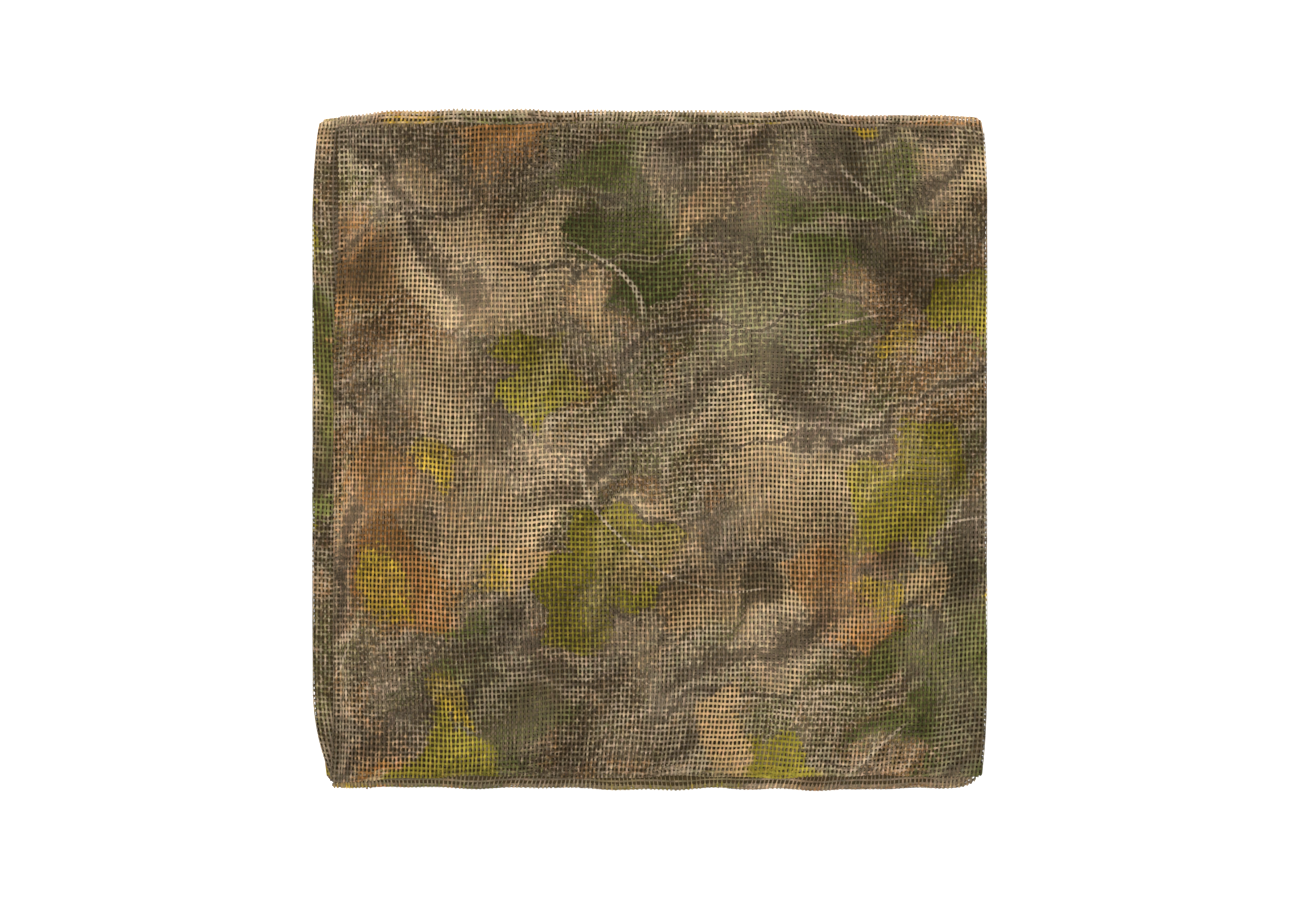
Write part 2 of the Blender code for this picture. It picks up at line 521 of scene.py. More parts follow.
    def across(self, s: Array, w: Array) -> tuple[Array, Array, Array, Array]:
        """Places points that are given by their distance across the net's plies.

        Args:
            s: Strip distances, in metres.
            w: Net distances from the first long edge, in metres.

        Returns:
            Their depths, their heights above the strip's middle, and the depth and height parts of the
            direction that the printed side faces.
        """
        s, w = (np.array(a, float) for a in np.broadcast_arrays(s, w))
        depths, starts = self.folds(s), self.fold_starts(s)
        radius = self.fold_radius
        y, level, face_y, face_up = (np.zeros_like(s) for _ in range(4))
        for ply in range(self.plies):
            last = ply == self.plies - 1
            here = (w >= starts[ply]) if ply else np.ones(s.shape, bool)
            here &= (w < starts[ply + 1]) | last
            way = -1 if ply % 2 == 0 else 1
            first_t, last_t = w - starts[ply], starts[ply + 1] - w
            flat = np.full_like(s, np.pi / 2)
            bend = np.clip(first_t, 0, radius * np.pi / 2) / radius if ply else flat
            bend_end = flat if last else np.clip(last_t, 0, radius * np.pi / 2) / radius
            run = first_t + (radius - radius * np.pi / 2 if ply else 0)
            flat_y = depths[ply] + way * run
            first_y = depths[ply] + way * radius * (1 - np.cos(bend))
            last_y = depths[ply + 1] - way * radius * (1 - np.cos(bend_end))
            in_first, in_last = bend < np.pi / 2 - TINY, bend_end < np.pi / 2 - TINY
            at_y = np.where(in_first, first_y, np.where(in_last, last_y, flat_y))
            up = self.level(ply) + np.where(in_first, radius * (1 - np.sin(bend)), 0)
            up = up - np.where(in_last, radius * (1 - np.sin(bend_end)), 0)
            printed = 1 if ply % 2 == 0 else -1
            outward = np.where(in_first, -way * np.cos(bend), np.where(in_last, way * np.cos(bend_end), 0))
            upward = np.where(in_first, -np.sin(bend), np.where(in_last, np.sin(bend_end), printed))
            turned = np.where(in_first, -printed, np.where(in_last, printed, 1))
            y[here], level[here] = at_y[here], up[here]
            face_y[here] = (outward * turned)[here]
            face_up[here] = (upward * turned)[here]
        return y, level, face_y, face_up

    def surface(self, s: Array, w: Array, lift: Amount = 0.0) -> Array:
        """Places points of the net in the bundle.

        Args:
            s: Strip distances, in metres.
            w: Net distances, in metres.
            lift: How far the points stand off the mesh's middle, towards its printed side.

        Returns:
            The points, with a last axis of X, Y and Z.
        """
        y, level, face_y, face_up = self.across(s, w)
        spot = self.walk(self.own_way(s, y, level), y, level)
        x = spot.x + spot.up_x * face_up * lift
        z = spot.z + spot.up_z * face_up * lift
        depth = spot.y + face_y * lift
        return np.stack([x, depth, z * self.loft(x, depth)], axis=-1)


# ---------------------------------------------------------------- the mesh of yarns


@dataclass(frozen=True)
class Weave:
    """The open mesh: upright yarns over flatter cross yarns, slightly skewed as a folded net is."""

    upright_pitch: float = 1.85 * MM
    cross_pitch: float = 2.31 * MM
    upright_half: float = 0.41 * MM
    cross_half: float = 0.45 * MM
    knot_swell: float = 0.09 * MM
    upright_ridge: float = 0.15 * MM
    upright_foot: float = 0.0
    cross_ridge: float = 0.04 * MM
    cross_foot: float = -0.07 * MM

    def skew(self, u: Array, v: Array) -> Array:
        """How far the mesh is drawn along the strip at this place of the cloth.

        Args:
            u: Places along the strip, in metres of cloth.
            v: Places across the net, in metres of cloth.

        Returns:
            The distances that it is drawn, in metres.
        """
        wide = 1.5 * np.sin(u / 0.041 + v / 0.063 + 0.6) + 0.9 * np.sin(u / 0.029 - v / 0.036 + 2.2)
        gathered = 3.4 * np.exp(-np.clip(u, 0, None) / 0.0068)
        return (wide + 0.5 * np.sin(v / 0.021 + u / 0.055) + gathered) * MM

    def sag(self, u: Array, v: Array) -> Array:
        """How far the mesh is drawn across the net at this place of the cloth.

        Args:
            u: Places along the strip, in metres of cloth.
            v: Places across the net, in metres of cloth.

        Returns:
            The distances that it is drawn, in metres.
        """
        wide = 1.3 * np.sin(u / 0.052 + 0.9) + 0.6 * np.sin(u / 0.027 + v / 0.052 + 1.1)
        corner = np.clip((u - 0.225) / 0.065, 0, 1) ** 2 * np.clip(v / 0.29, 0, 1)
        return (wide + 0.4 * np.sin(v / 0.033 - u / 0.038) - 4.5 * corner) * MM

    def v_at(self, u: Array, w: Array) -> Array:
        """The cloth's own place across the net, from a net distance.

        Args:
            u: Places along the strip, in metres of cloth.
            w: Net distances from the first long edge, in metres.

        Returns:
            Places across the net, in metres of cloth.
        """
        v = w - self.sag(u, w)
        for _ in range(3):
            v = w - self.sag(u, v)
        return v

    def u_at(self, s: Array, v: Array) -> Array:
        """The cloth's own place along the strip, from a strip distance.

        Args:
            s: Strip distances, in metres.
            v: Places across the net, in metres of cloth.

        Returns:
            Places along the strip, in metres of cloth.
        """
        u = s - self.skew(s, v)
        for _ in range(3):
            u = s - self.skew(u, v)
        return u

    @staticmethod
    def chance(index: Array, salt: float) -> Array:
        """A number from 0 to 1 that is always the same for one yarn."""
        return np.modf(np.abs(np.sin(index * 12.9898 + salt) * 43758.5453))[0]

    def upright_wander(self, index: Array, v: Array) -> Array:
        """How far an upright yarn strays sideways.

        Args:
            index: The yarn's number.
            v: Places across the net, in metres of cloth.

        Returns:
            How far it strays, in metres.
        """
        phase, second = self.chance(index, 1.7) * 6.283, self.chance(index, 5.3) * 6.283
        slow = 0.13 * np.sin(v / 0.0072 + phase) + 0.06 * np.sin(v / 0.0017 + second)
        return (slow + 0.16 * (self.chance(index, 9.1) - 0.5)) * MM

    def cross_wander(self, index: Array, u: Array) -> Array:
        """How far a cross yarn strays sideways.

        Args:
            index: The yarn's number.
            u: Places along the strip, in metres of cloth.

        Returns:
            How far it strays, in metres.
        """
        phase, second = self.chance(index, 3.1) * 6.283, self.chance(index, 7.9) * 6.283
        slow = 0.14 * np.sin(u / 0.0081 + phase) + 0.08 * np.sin(u / 0.0016 + second)
        return (slow + 0.20 * (self.chance(index, 2.6) - 0.5)) * MM

    def upright_width(self, index: Array, v: Array) -> Array:
        """Half the width of an upright yarn, wider where a cross yarn is knitted in.

        Args:
            index: The yarn's number.
            v: Places across the net, in metres of cloth.

        Returns:
            Half its width, in metres.
        """
        knot = np.cos(np.pi * v / self.cross_pitch) ** 2
        return (self.upright_half - self.knot_swell + 2 * self.knot_swell * knot) * (
            0.9 + 0.2 * self.chance(index, 4.4)
        )

    def cross_width(self, index: Array, u: Array) -> Array:
        """Half the width of a cross yarn."""
        return self.cross_half * (0.88 + 0.24 * self.chance(index, 6.2)) + 0.0 * u


@dataclass
class YarnMesh:
    """Ribbons of yarn gathered into one mesh, with the cloth place, bake place and tone of each point.

    The cloth place's third number is 0 on upright yarns and 1 on cross yarns. The tone is painted light and
    shade: 1 in the open, lower as painted shade on plies that lie in others' shade, and higher as painted
    light on the rims' loops and back bands, with random unevenness on the rims.
    """

    points: list[Array] = field(default_factory=list)
    cloth: list[Array] = field(default_factory=list)
    bake: list[Array] = field(default_factory=list)
    tones: list[Array] = field(default_factory=list)
    quads: list[Array] = field(default_factory=list)
    count: int = 0

    def add(self, points: Array, cloth: Array, bake: Array, keep: Array, tone: Amount = 1.0) -> None:
        """Adds yarns.

        Args:
            points: Places, by yarn, step along it, line across it, and X, Y and Z.
            cloth: The cloth's own places, with the same axes, and the kind of yarn.
            bake: Places in the bake map, the same.
            keep: Which lengths from one step to the next are there, by yarn and step.
            tone: How light the yarns are, by yarn and step: painted light and shade, with random unevenness
                on the rims.
        """
        yarns, steps, lines = points.shape[:3]
        index = np.arange(yarns * steps * lines).reshape(yarns, steps, lines) + self.count
        corners = (index[:, :-1, :-1], index[:, :-1, 1:], index[:, 1:, 1:], index[:, 1:, :-1])
        quads = np.stack(corners, axis=-1)[keep]
        self.quads.append(quads.reshape(-1, 4))
        self.points.append(points.reshape(-1, 3))
        self.cloth.append(cloth.reshape(-1, 3))
        self.bake.append(bake.reshape(-1, 2))
        toned = np.broadcast_to(tone, (yarns, steps))[..., None] + np.zeros(lines)
        self.tones.append(toned.ravel())
        self.count += yarns * steps * lines

    def build(self, name: str) -> bpy.types.Object:
        """Makes the mesh object.

        Args:
            name: The object's name.

        Returns:
            The object, with its place in its mesh.
        """
        quads = np.concatenate(self.quads)
        used, index = np.unique(quads, return_inverse=True)
        quads = index.reshape(-1, 4)
        points, cloth, bake = (np.concatenate(part)[used] for part in (self.points, self.cloth, self.bake))
        tones = np.concatenate(self.tones)[used]
        mesh = bpy.data.meshes.new(name)
        mesh.vertices.add(len(points))
        mesh.vertices.foreach_set("co", points.astype(np.float32).ravel())
        mesh.loops.add(quads.size)
        mesh.loops.foreach_set("vertex_index", quads.astype(np.int32).ravel())
        mesh.polygons.add(len(quads))
        mesh.polygons.foreach_set("loop_start", np.arange(0, quads.size, 4, dtype=np.int32))
        mesh.polygons.foreach_set("use_smooth", np.ones(len(quads), bool))
        mesh.update(calc_edges=True)
        place = mesh.attributes.new("cloth", "FLOAT_VECTOR", "POINT")
        place.data.foreach_set("vector", cloth.astype(np.float32).ravel())
        tone = mesh.attributes.new("tone", "FLOAT", "POINT")
        tone.data.foreach_set("value", tones.astype(np.float32))
        bake_map = mesh.uv_layers.new(name="OFBake")
        bake_map.data.foreach_set("uv", bake[quads.ravel()].astype(np.float32).ravel())
        mesh.validate()
        piece = bpy.data.objects.new(name, mesh)
        bpy.context.scene.collection.objects.link(piece)
        return piece


class Side(Enum):
    """Which side of a ply faces out."""

    PRINTED = 1
    PLAIN = -1


@dataclass(frozen=True)
class Patch:
    """A rectangle of the bake map: what part of the cloth it shows, and where it lies in the map."""

    u_low: float
    u_high: float
    w_low: float
    w_high: float
    left: float = 0.0
    bottom: float = 0.0
    wide: float = 1.0
    high: float = 1.0
    turned: bool = False

    def place(self, u: Array, w: Array) -> Array:
        """The places in the bake map of these places of the cloth.

        Args:
            u: Places along the strip, in metres of cloth.
            w: Net distances from the first long edge, in metres.

        Returns:
            The map's places, with a last axis of two.
        """
        across = np.clip((u - self.u_low) / (self.u_high - self.u_low), 0, 1)
        up = np.clip((w - self.w_low) / (self.w_high - self.w_low), 0, 1)
        if self.turned:
            across, up = up, across
        return np.stack([self.left + self.wide * across, self.bottom + self.high * up], axis=-1)


@dataclass
class Loom:
    """Weaves yarns into a mesh, on the bundle's folds."""

    bundle: Bundle
    weave: Weave

    def uprights(
        self,
        out: YarnMesh,
        numbers: Array,
        w: Array,
        side: Side,
        patch: Patch,
        ridged: bool = True,
        tone: Amount = 1.0,
        mirror: float = 0.0,
        moved: Amount = 0.0,
    ) -> None:
        """Adds upright yarns, which run across the plies.

        Args:
            out: The mesh to add to.
            numbers: The yarns' own numbers along the strip.
            w: The net distances of their steps, by yarn and step. Steps at one place are left out.
            side: The side of the cloth that their ridges face.
            patch: Their part of the bake map.
            ridged: Whether a yarn has a ridge along its middle.
            tone: How light they are: painted light and shade, with random unevenness on the rims.
            mirror: A fold's net distance, for yarns that take the colours of the ply over it as painted
                bounce light, or 0.
            moved: How far they are drawn along the strip from their places in the mesh.
        """
        number = numbers[:, None].astype(float)
        u = number * self.weave.upright_pitch + np.zeros_like(w)
        v = self.weave.v_at(u, w)
        u = u + self.weave.upright_wander(number, v)
        half = self.weave.upright_width(number, v)
        skew = self.weave.skew(u, v) + moved
        # Painted bounce light: a shaded ply takes the colours of the ply over it, read mirrored across the
        # fold.
        seen = 2 * mirror - v if mirror else v
        points, cloth, bake = [], [], []
        for offset in (-1, 0, 1) if ridged else (-1, 1):
            lift = self.weave.upright_foot if offset else self.weave.upright_ridge
            s = u + skew + offset * half
            points.append(self.bundle.surface(s, w, side.value * lift))
            cloth.append(np.stack([u + offset * half, seen, 0 * v], axis=-1))
            bake.append(patch.place(s, w))
        keep = np.abs(np.diff(w, axis=1)) > SAME_PLACE
        out.add(*(np.stack(part, axis=2) for part in (points, cloth, bake)), keep, tone)

    def crosses(
        self,
        out: YarnMesh,
        numbers: Array,
        s: Array,
        w_range: tuple[Array, Array],
        side: Side,
        patch: Patch,
        ridged: bool = True,
        tone: Amount = 1.0,
        mirror: float = 0.0,
        moved: Amount = 0.0,
    ) -> None:
        """Adds cross yarns, which run along the strip.

        Args:
            out: The mesh to add to.
            numbers: The yarns' own numbers across the net.
            s: The strip distances of their steps, by yarn and step.
            w_range: The lowest and highest net distance to weave, at each of those steps.
            side: The side of the cloth that their ridges face.
            patch: Their part of the bake map.
            ridged: Whether a yarn has a ridge along its middle.
            tone: How light they are: painted light and shade, with random unevenness on the rims.
            mirror: A fold's net distance, for yarns that take the colours of the ply over it as painted
                bounce light, or 0.
            moved: How far they are drawn over from their places in the mesh.
        """
        number = numbers[:, None].astype(float)
        v = number * self.weave.cross_pitch + np.zeros_like(s)
        u = self.weave.u_at(s, v)
        v = v + self.weave.cross_wander(number, u)
        half = self.weave.cross_width(number, u)
        w = v + self.weave.sag(u, v) + moved
        # Painted bounce light: a shaded ply takes the colours of the ply over it, read mirrored across the
        # fold.
        seen = 2 * mirror - v if mirror else v
        points, cloth, bake = [], [], []
        for offset in (-1, 0, 1) if ridged else (-1, 1):
            lift = self.weave.cross_foot if offset else self.weave.cross_ridge
            at = w + offset * half
            points.append(self.bundle.surface(s, at, side.value * lift))
            cloth.append(np.stack([u, seen + offset * half, 0 * v + 1], axis=-1))
            bake.append(patch.place(s, at))
        inside = (w >= w_range[0]) & (w <= w_range[1])
        keep = inside[:, :-1] & inside[:, 1:] & (np.abs(np.diff(s, axis=1)) > SAME_PLACE)
        out.add(*(np.stack(part, axis=2) for part in (points, cloth, bake)), keep, tone)


# ---------------------------------------------------------------- pieces of the net


@dataclass
class Piece:
    """A piece of the net, on the bundle's folds."""

    bundle: Bundle
    weave: Weave

    @property
    def top(self) -> int:
        """The top layer."""
        return self.bundle.layers - 1

    @property
    def loom(self) -> Loom:
        """What weaves it."""
        return Loom(self.bundle, self.weave)


@dataclass
class TopPly(Piece):
    """The net's first ply, which covers the top, rolls at the left and turns under at the right and front."""

    rolled: float = 1.45 * MM
    under_right: float = 12 * MM
    under_front: float = 5 * MM
    fray: float = 0.8 * MM
    middle_step: int = 124  # the step of an upright yarn that lies about halfway across the ply
    fold_steps_mm: tuple[float, ...] = (-0.5, -0.33, -0.16, 0.0, 0.16, 0.33, 0.5)

    def reach(self) -> float:
        """The strip distance to which this ply is woven."""
        return self.bundle.turn_span(self.top, self.bundle.level(0))[1] + self.under_right

    def patch(self) -> Patch:
        """The part of the cloth that the bake map shows."""
        return Patch(-self.rolled, self.reach(), -self.fray, NET_REACH)

    def weave_uprights(self) -> bpy.types.Object:
        """Weaves the upright yarns, two lengths to each hole.

        Returns:
            The piece.
        """
        out = YarnMesh()
        pitch, row = self.weave.upright_pitch, self.weave.cross_pitch
        numbers = np.arange(-3, int(self.reach() / pitch) + 2)
        u = numbers[:, None] * pitch
        v = np.arange(-1.0, NET_REACH / row, 0.5)[None, :] * row
        w = v + self.weave.sag(u, v)
        s = u + self.weave.skew(u, v)
        fold = self.bundle.fold_starts(s[:, self.middle_step])[1][:, None]
        w = np.concatenate([w, fold + np.array(self.fold_steps_mm) * MM], axis=1)
        first = -self.fray * (0.3 + 0.7 * self.weave.chance(numbers[:, None], 8.8))
        w = np.sort(np.clip(w, first, fold + self.under_front), axis=1)
        inside = (s[:, self.middle_step] > -self.rolled) & (s[:, self.middle_step] < self.reach())
        self.loom.uprights(out, numbers[inside], w[inside], Side.PRINTED, self.patch())
        return out.build("top_ply_uprights")

    def weave_crosses(self) -> bpy.types.Object:
        """Weaves the cross yarns, one length to each hole.

        Returns:
            The piece.
        """
        out = YarnMesh()
        numbers = np.arange(0, int(NET_REACH / self.weave.cross_pitch) + 2)
        pitch = self.weave.upright_pitch
        steps = np.arange(-2.5, self.reach() / pitch + 2)[None, :] * pitch
        v = numbers[:, None] * self.weave.cross_pitch
        s = np.clip(steps + self.weave.skew(steps, v), -self.rolled, self.reach())
        fold = self.bundle.fold_starts(s)[1]
        limits = (np.full_like(s, -0.2 * MM), fold + self.under_front)
        self.loom.crosses(out, numbers, s, limits, Side.PRINTED, self.patch())
        return out.build("top_ply_crosses")


@dataclass
class SecondPly(Piece):
    """The ply under the first one. Its yarns show through the first one's holes, and are darkened with
    painted shade.
    """

    from_fold: float = 5 * MM
    to_fold: float = 8.5 * MM
    step: float = 8 * MM
    before_end: float = 0.4 * MM  # how far it stands out from the top layer's flat part at the left
    past_top: float = 1 * MM  # and at the right
    rows_mm: tuple[int, int] = (285, 600)  # the net distances between which its cross yarns lie
    # Painted shade: the darkest and the lightest tone of the ply.
    tones: tuple[float, float] = (0.22, 0.62)

    def tone_at(self, s: Array, w: Array) -> Array:
        """Finds how light the ply is, as painted shade: lightest in the patches where it lies close under the
        first one.

        Args:
            s: Strip distances.
            w: Net distances.

        Returns:
            The tone at each place.
        """
        patches = np.sin(s / 0.0093 + 1.7 * np.sin(w / 0.019))
        patches = patches + np.sin(w / 0.0107 + 1.5 * np.sin(s / 0.023 + 1.0))
        share = np.clip((patches + 0.55) / 1.9, 0, 1)
        return self.tones[0] + (self.tones[1] - self.tones[0]) * share

    def weave_yarns(self) -> bpy.types.Object:
        """Weaves the ply, with coarse lengths.

        Returns:
            The piece.
        """
        out = YarnMesh()
        reach = self.bundle.flat_length(self.top) + self.past_top
        patch = Patch(-self.past_top, reach, PLY_REACH, PLY_REACH + NET_REACH)
        pitch = self.weave.upright_pitch
        numbers = np.arange(-2, int(reach / pitch) + 2)
        s = numbers * pitch
        starts = self.bundle.fold_starts(s)
        low, high = starts[1] + self.from_fold, starts[2] - self.to_fold
        share = np.linspace(0, 1, int(PLY_REACH / self.step))[None, :]
        w = low[:, None] + (high - low)[:, None] * share
        placed = s + self.weave.skew(s, low)
        inside = (placed > -self.before_end) & (placed < reach)
        fold = float(starts[1].mean())
        tone = self.tone_at(s[inside, None] + 0 * w[inside], w[inside])
        self.loom.uprights(out, numbers[inside], w[inside], Side.PLAIN, patch, False, tone, fold)
        rows = np.arange(*(int(place * MM / self.weave.cross_pitch) for place in self.rows_mm))
        steps = np.linspace(-self.before_end, reach, int(PLY_REACH / self.step))
        steps = steps[None, :] + np.zeros((len(rows), 1))
        starts = self.bundle.fold_starts(steps)
        limits = (starts[1] + self.from_fold, starts[2] - self.to_fold)
        tone = self.tone_at(steps, rows[:, None] * self.weave.cross_pitch + 0 * steps)
        self.loom.crosses(out, rows, steps, limits, Side.PLAIN, patch, False, tone, fold)
        return out.build("second_ply")


@dataclass
class Rim(Piece):
    """The front or back of the bundle, where the plies' folds and the net's long edges lie together."""

    folds: tuple[int, ...]
    depth: float = 4 * MM
    fray: float = 0.9 * MM
    cross_step: float = 3.7 * MM
    top_depth: float = 8.5 * MM
    steps_mm: tuple[float, ...] = (-1.1, -0.345, -0.12, 0.12, 0.345, 1.1)
    slant: float = 0.24
    slant_reach: float = 19 * MM
    # Painted light and shade: the front bands' flat cloth is darkened as painted shade, and their loops and
    # the back bands are lightened as painted light.
    front_tones: tuple[float, float] = (0.86, 1.25)  # of a band's flat cloth and of its loops
    back_tones: tuple[float, float] = (1.55, 1.70)
    first_rows: tuple[float, float] = (0.43, 0.24)  # pitches from a back or front fold to a cross yarn
    selvedge: float = 0.1 * MM  # how far cross yarns may pass a long edge
    free_end: float = 0.3 * MM  # how far in from the top layer's free end the bands begin

    def layer_range(self, layer: int) -> tuple[float, float]:
        """The strip distances that one layer and the turn after it cover.

        Args:
            layer: The layer, from 0 at the base.

        Returns:
            Where it begins and where it ends, in metres.
        """
        above = range(layer + 1, self.bundle.layers)
        low = sum(self.bundle.flat_length(number) + self.bundle.half_turn for number in reversed(above))
        return low, low + self.bundle.flat_length(layer) + (self.bundle.half_turn if layer else 0)

    def weave_folds(self, name: str) -> bpy.types.Object:
        """Weaves a narrow band of cloth over each fold and along each long edge, in every layer.

        Args:
            name: The piece's name.

        Returns:
            The piece.
        """
        out = YarnMesh()
        bands = self.bundle.layers * len(self.folds)
        for layer in range(self.bundle.layers):
            low, high = self.layer_range(layer)
            for place, fold in enumerate(self.folds):
                if layer == self.top and fold in (0, 1):
                    continue
                band = layer * len(self.folds) + place
                self.weave_band(out, layer, fold, (low, high), (band / bands, BAND_SHARE / bands), band)
        return out.build(name)

    def weave_band(
        self,
        out: YarnMesh,
        layer: int,
        fold: int,
        reach: tuple[float, float],
        strip: tuple[float, float],
        band: int,
    ) -> None:
        """Weaves one band.

        Args:
            out: The mesh to add to.
            layer: Its layer.
            fold: Its fold or long edge.
            reach: Its lowest and highest strip distance.
            strip: How high it starts in the bake map, and how high it is there.
            band: Its own number, for its rows' uneven places.
        """
        side = Side.PRINTED if fold in (0, 1, 3) else Side.PLAIN
        low, high = reach
        top = layer == self.top
        pitch = self.weave.upright_pitch
        numbers = np.arange(math.floor(low / pitch) - 3, math.ceil(high / pitch) + 3)
        at = self.bundle.fold_starts(numbers * pitch)[fold]
        placed = numbers * pitch + self.weave.skew(numbers * pitch, at)
        inside = (placed >= max(low, self.free_end)) & (placed < high)
        numbers, placed = numbers[inside], placed[inside]
        at = self.bundle.fold_starts(placed)[fold][:, None]
        middle = float(at.mean())
        ends = self.fray * (0.2 + 0.8 * self.weave.chance(numbers[:, None] + 31.0 * layer, 8.8))
        depth = self.top_depth if top else self.depth
        steps = np.array((-depth / MM, *self.steps_mm, depth / MM))[None, :] * MM
        if fold == 0:
            w = at + np.maximum(steps, -ends)
        elif fold == self.bundle.plies:
            w = at + np.minimum(steps, ends)
        else:
            w = at + steps
        wide = depth + 2 * MM
        patch = Patch(low, high, middle - wide, middle + wide, 0.0, strip[0], 1.0, strip[1])
        uneven = 0.78 + 0.4 * self.weave.chance(numbers[:, None] + 7.0 * band, 4.9)
        tone = self.tone_at(fold, layer, w - at) * uneven
        slanted = self.slant * np.sin(placed[:, None] / self.slant_reach + 1.3 * band) * (w - at)
        ridged = top or layer == self.top - 1
        self.loom.uprights(out, numbers, w, side, patch, ridged=ridged, tone=tone, moved=slanted)
        row = self.weave.cross_pitch
        rows = np.arange(math.floor((middle - 2 * wide) / row), math.ceil((middle + 2 * wide) / row))
        s = np.arange(low, high + self.cross_step, self.cross_step)
        s = np.clip(s, max(low, self.selvedge), high)[None, :] + np.zeros((len(rows), 1))
        at = self.bundle.fold_starts(s)[fold]
        edge_low = -self.selvedge if fold == 0 else -depth
        edge_high = self.selvedge if fold == self.bundle.plies else depth
        v = rows[:, None] * row
        first_row = self.first_rows[fold % 2] + 0.14 * self.weave.chance(rows[:, None] + band, 2.2)
        from_fold = (rows[:, None] - round(middle / row) + first_row) * row
        moved = at + from_fold - v - self.weave.sag(self.weave.u_at(s, v + 0 * s), v)
        place = np.round(s / self.cross_step) + 5.0 * rows[:, None] + band
        uneven = 0.5 + 0.5 * self.weave.chance(place, 6.6)
        tone = uneven * self.tone_at(fold, layer, from_fold + 0 * s)
        limits = (at + edge_low, at + edge_high)
        self.loom.crosses(out, rows, s, limits, side, patch, ridged=top, tone=tone, moved=moved)

    def tone_at(self, fold: int, layer: int, from_fold: Array) -> Array:
        """Finds how light a band is, as painted light and shade. Loops stand in the open and get painted
        light, and the top layer's bands get painted shade deeper inwards, under the top ply.

        Args:
            fold: The band's fold or long edge.
            layer: The band's layer.
            from_fold: Net distances from the fold, in metres.

        Returns:
            The tone at each distance.
        """
        flat, loops = self.front_tones if fold % 2 else self.back_tones
        away = np.abs(from_fold)
        tone = flat + (loops - flat) * np.clip(1 - away / (0.9 * MM), 0, 1)
        if layer < self.top:
            return tone
        share = np.clip((away - self.top_depth + 3 * MM) / (2.5 * MM), 0, 1)
        return tone + (SHADED - tone) * share


@dataclass
class TurnEnds(Piece):
    """The left or right side of the bundle, where the strip turns back over itself."""

    turns: tuple[int, ...]
    margin: float = 3.5 * MM
    long_margin: float = 16 * MM
    step: float = 5.2 * MM
    cross_steps: int = 7
    flat_steps: tuple[float, float] = (3 * MM, 1.1 * MM)  # before a turn, and before the one that shows
    end_gaps: tuple[float, float] = (0.6 * MM, 0.4 * MM)  # from the folds to upright yarns and to cross ones
    seam_shade: tuple[float, float] = (-0.3 * MM, 0.8 * MM)  # where the free end's painted shadow begins and its width

    def weave_turns(self, name: str) -> bpy.types.Object:
        """Weaves the two outer plies round each turn.

        Args:
            name: The piece's name.

        Returns:
            The piece.
        """
        out = YarnMesh()
        bands = 2 * len(self.turns)
        for place, turn in enumerate(self.turns):
            for depth in range(2):
                if turn == self.top and depth == 0:
                    continue
                band = 2 * place + depth
                self.weave_ply(out, turn, depth, (band / bands, BAND_SHARE / bands))
        return out.build(name)

    def weave_ply(self, out: YarnMesh, turn: int, depth: int, strip: tuple[float, float]) -> None:
        """Weaves one ply round one turn.

        Args:
            out: The mesh to add to.
            turn: The turn, by its row.
            depth: 0 for the outermost ply, or 1 for the one inside it.
            strip: How high it starts in the bake map, and how high it is there.
        """
        right = turn % 2 == 1
        ply = depth if right else self.bundle.plies - 1 - depth
        side = Side.PRINTED if (ply % 2 == 0) == right else Side.PLAIN
        start, stop = self.bundle.turn_span(turn, float(self.bundle.level(ply)))
        before = self.long_margin if turn == self.top - 1 else self.margin
        low, high = start - before, stop + self.margin
        pitch, row = self.weave.upright_pitch, self.weave.cross_pitch
        fold_low, fold_high = (self.bundle.fold_starts(np.array([start]))[ply + more][0] for more in (0, 1))
        numbers = np.arange(math.floor(low / pitch) - 4, math.ceil(high / pitch) + 4)
        u = numbers * pitch
        placed = u + self.weave.skew(u, np.full(len(u), fold_low + PLY_REACH / 2))
        inside = (placed >= low) & (placed <= high)
        numbers, u = numbers[inside], u[inside]
        starts = self.bundle.fold_starts(u)
        share = np.linspace(0, 1, int(PLY_REACH / self.step))[None, :]
        ends = starts[ply] + self.end_gaps[0], starts[ply + 1] - self.end_gaps[0]
        w = ends[0][:, None] + (ends[1] - ends[0])[:, None] * share
        patch = Patch(low, high, fold_low, fold_high, 0.0, strip[0], 1.0, strip[1], turned=True)
        detailed = depth == 0
        tone = self.tone_at(turn, depth, u[:, None] + 0 * w, w)
        self.loom.uprights(out, numbers, w, side, patch, ridged=detailed, tone=tone)
        rows = np.arange(math.floor(fold_low / row) - 3, math.ceil(fold_high / row) + 3)
        flat_before = np.arange(low, start - 0.5 * MM, self.flat_steps[turn == self.top - 1])
        round_bend = np.linspace(start, stop, self.cross_steps)
        s = np.concatenate([flat_before, round_bend, [high]])[None, :] + np.zeros((len(rows), 1))
        starts = self.bundle.fold_starts(s)
        limits = (starts[ply] + self.end_gaps[1], starts[ply + 1] - self.end_gaps[1])
        tone = self.tone_at(turn, depth, s, rows[:, None] * row + 0 * s)
        self.loom.crosses(out, rows, s, limits, side, patch, ridged=detailed, tone=tone)

    def tone_at(self, turn: int, depth: int, s: Array, w: Array) -> Amount:
        """Finds how light a ply is: the inner ply gets painted shade, and the top layer's free end casts a
        painted shadow on the one under it.

        Args:
            turn: The turn, by its row.
            depth: 0 for the outermost ply, or 1 for the one inside it.
            s: Strip distances.
            w: Net distances.

        Returns:
            The tone at each place.
        """
        if depth:
            return SHADED
        if turn != self.top - 1:
            return 1.0
        points = self.bundle.surface(s, w)
        free_end = self.bundle.rows()[-1].tip(points[..., 1])
        away = free_end - points[..., 0] - self.seam_shade[0]
        return 0.5 + 0.5 * np.clip(away / self.seam_shade[1], 0, 1)


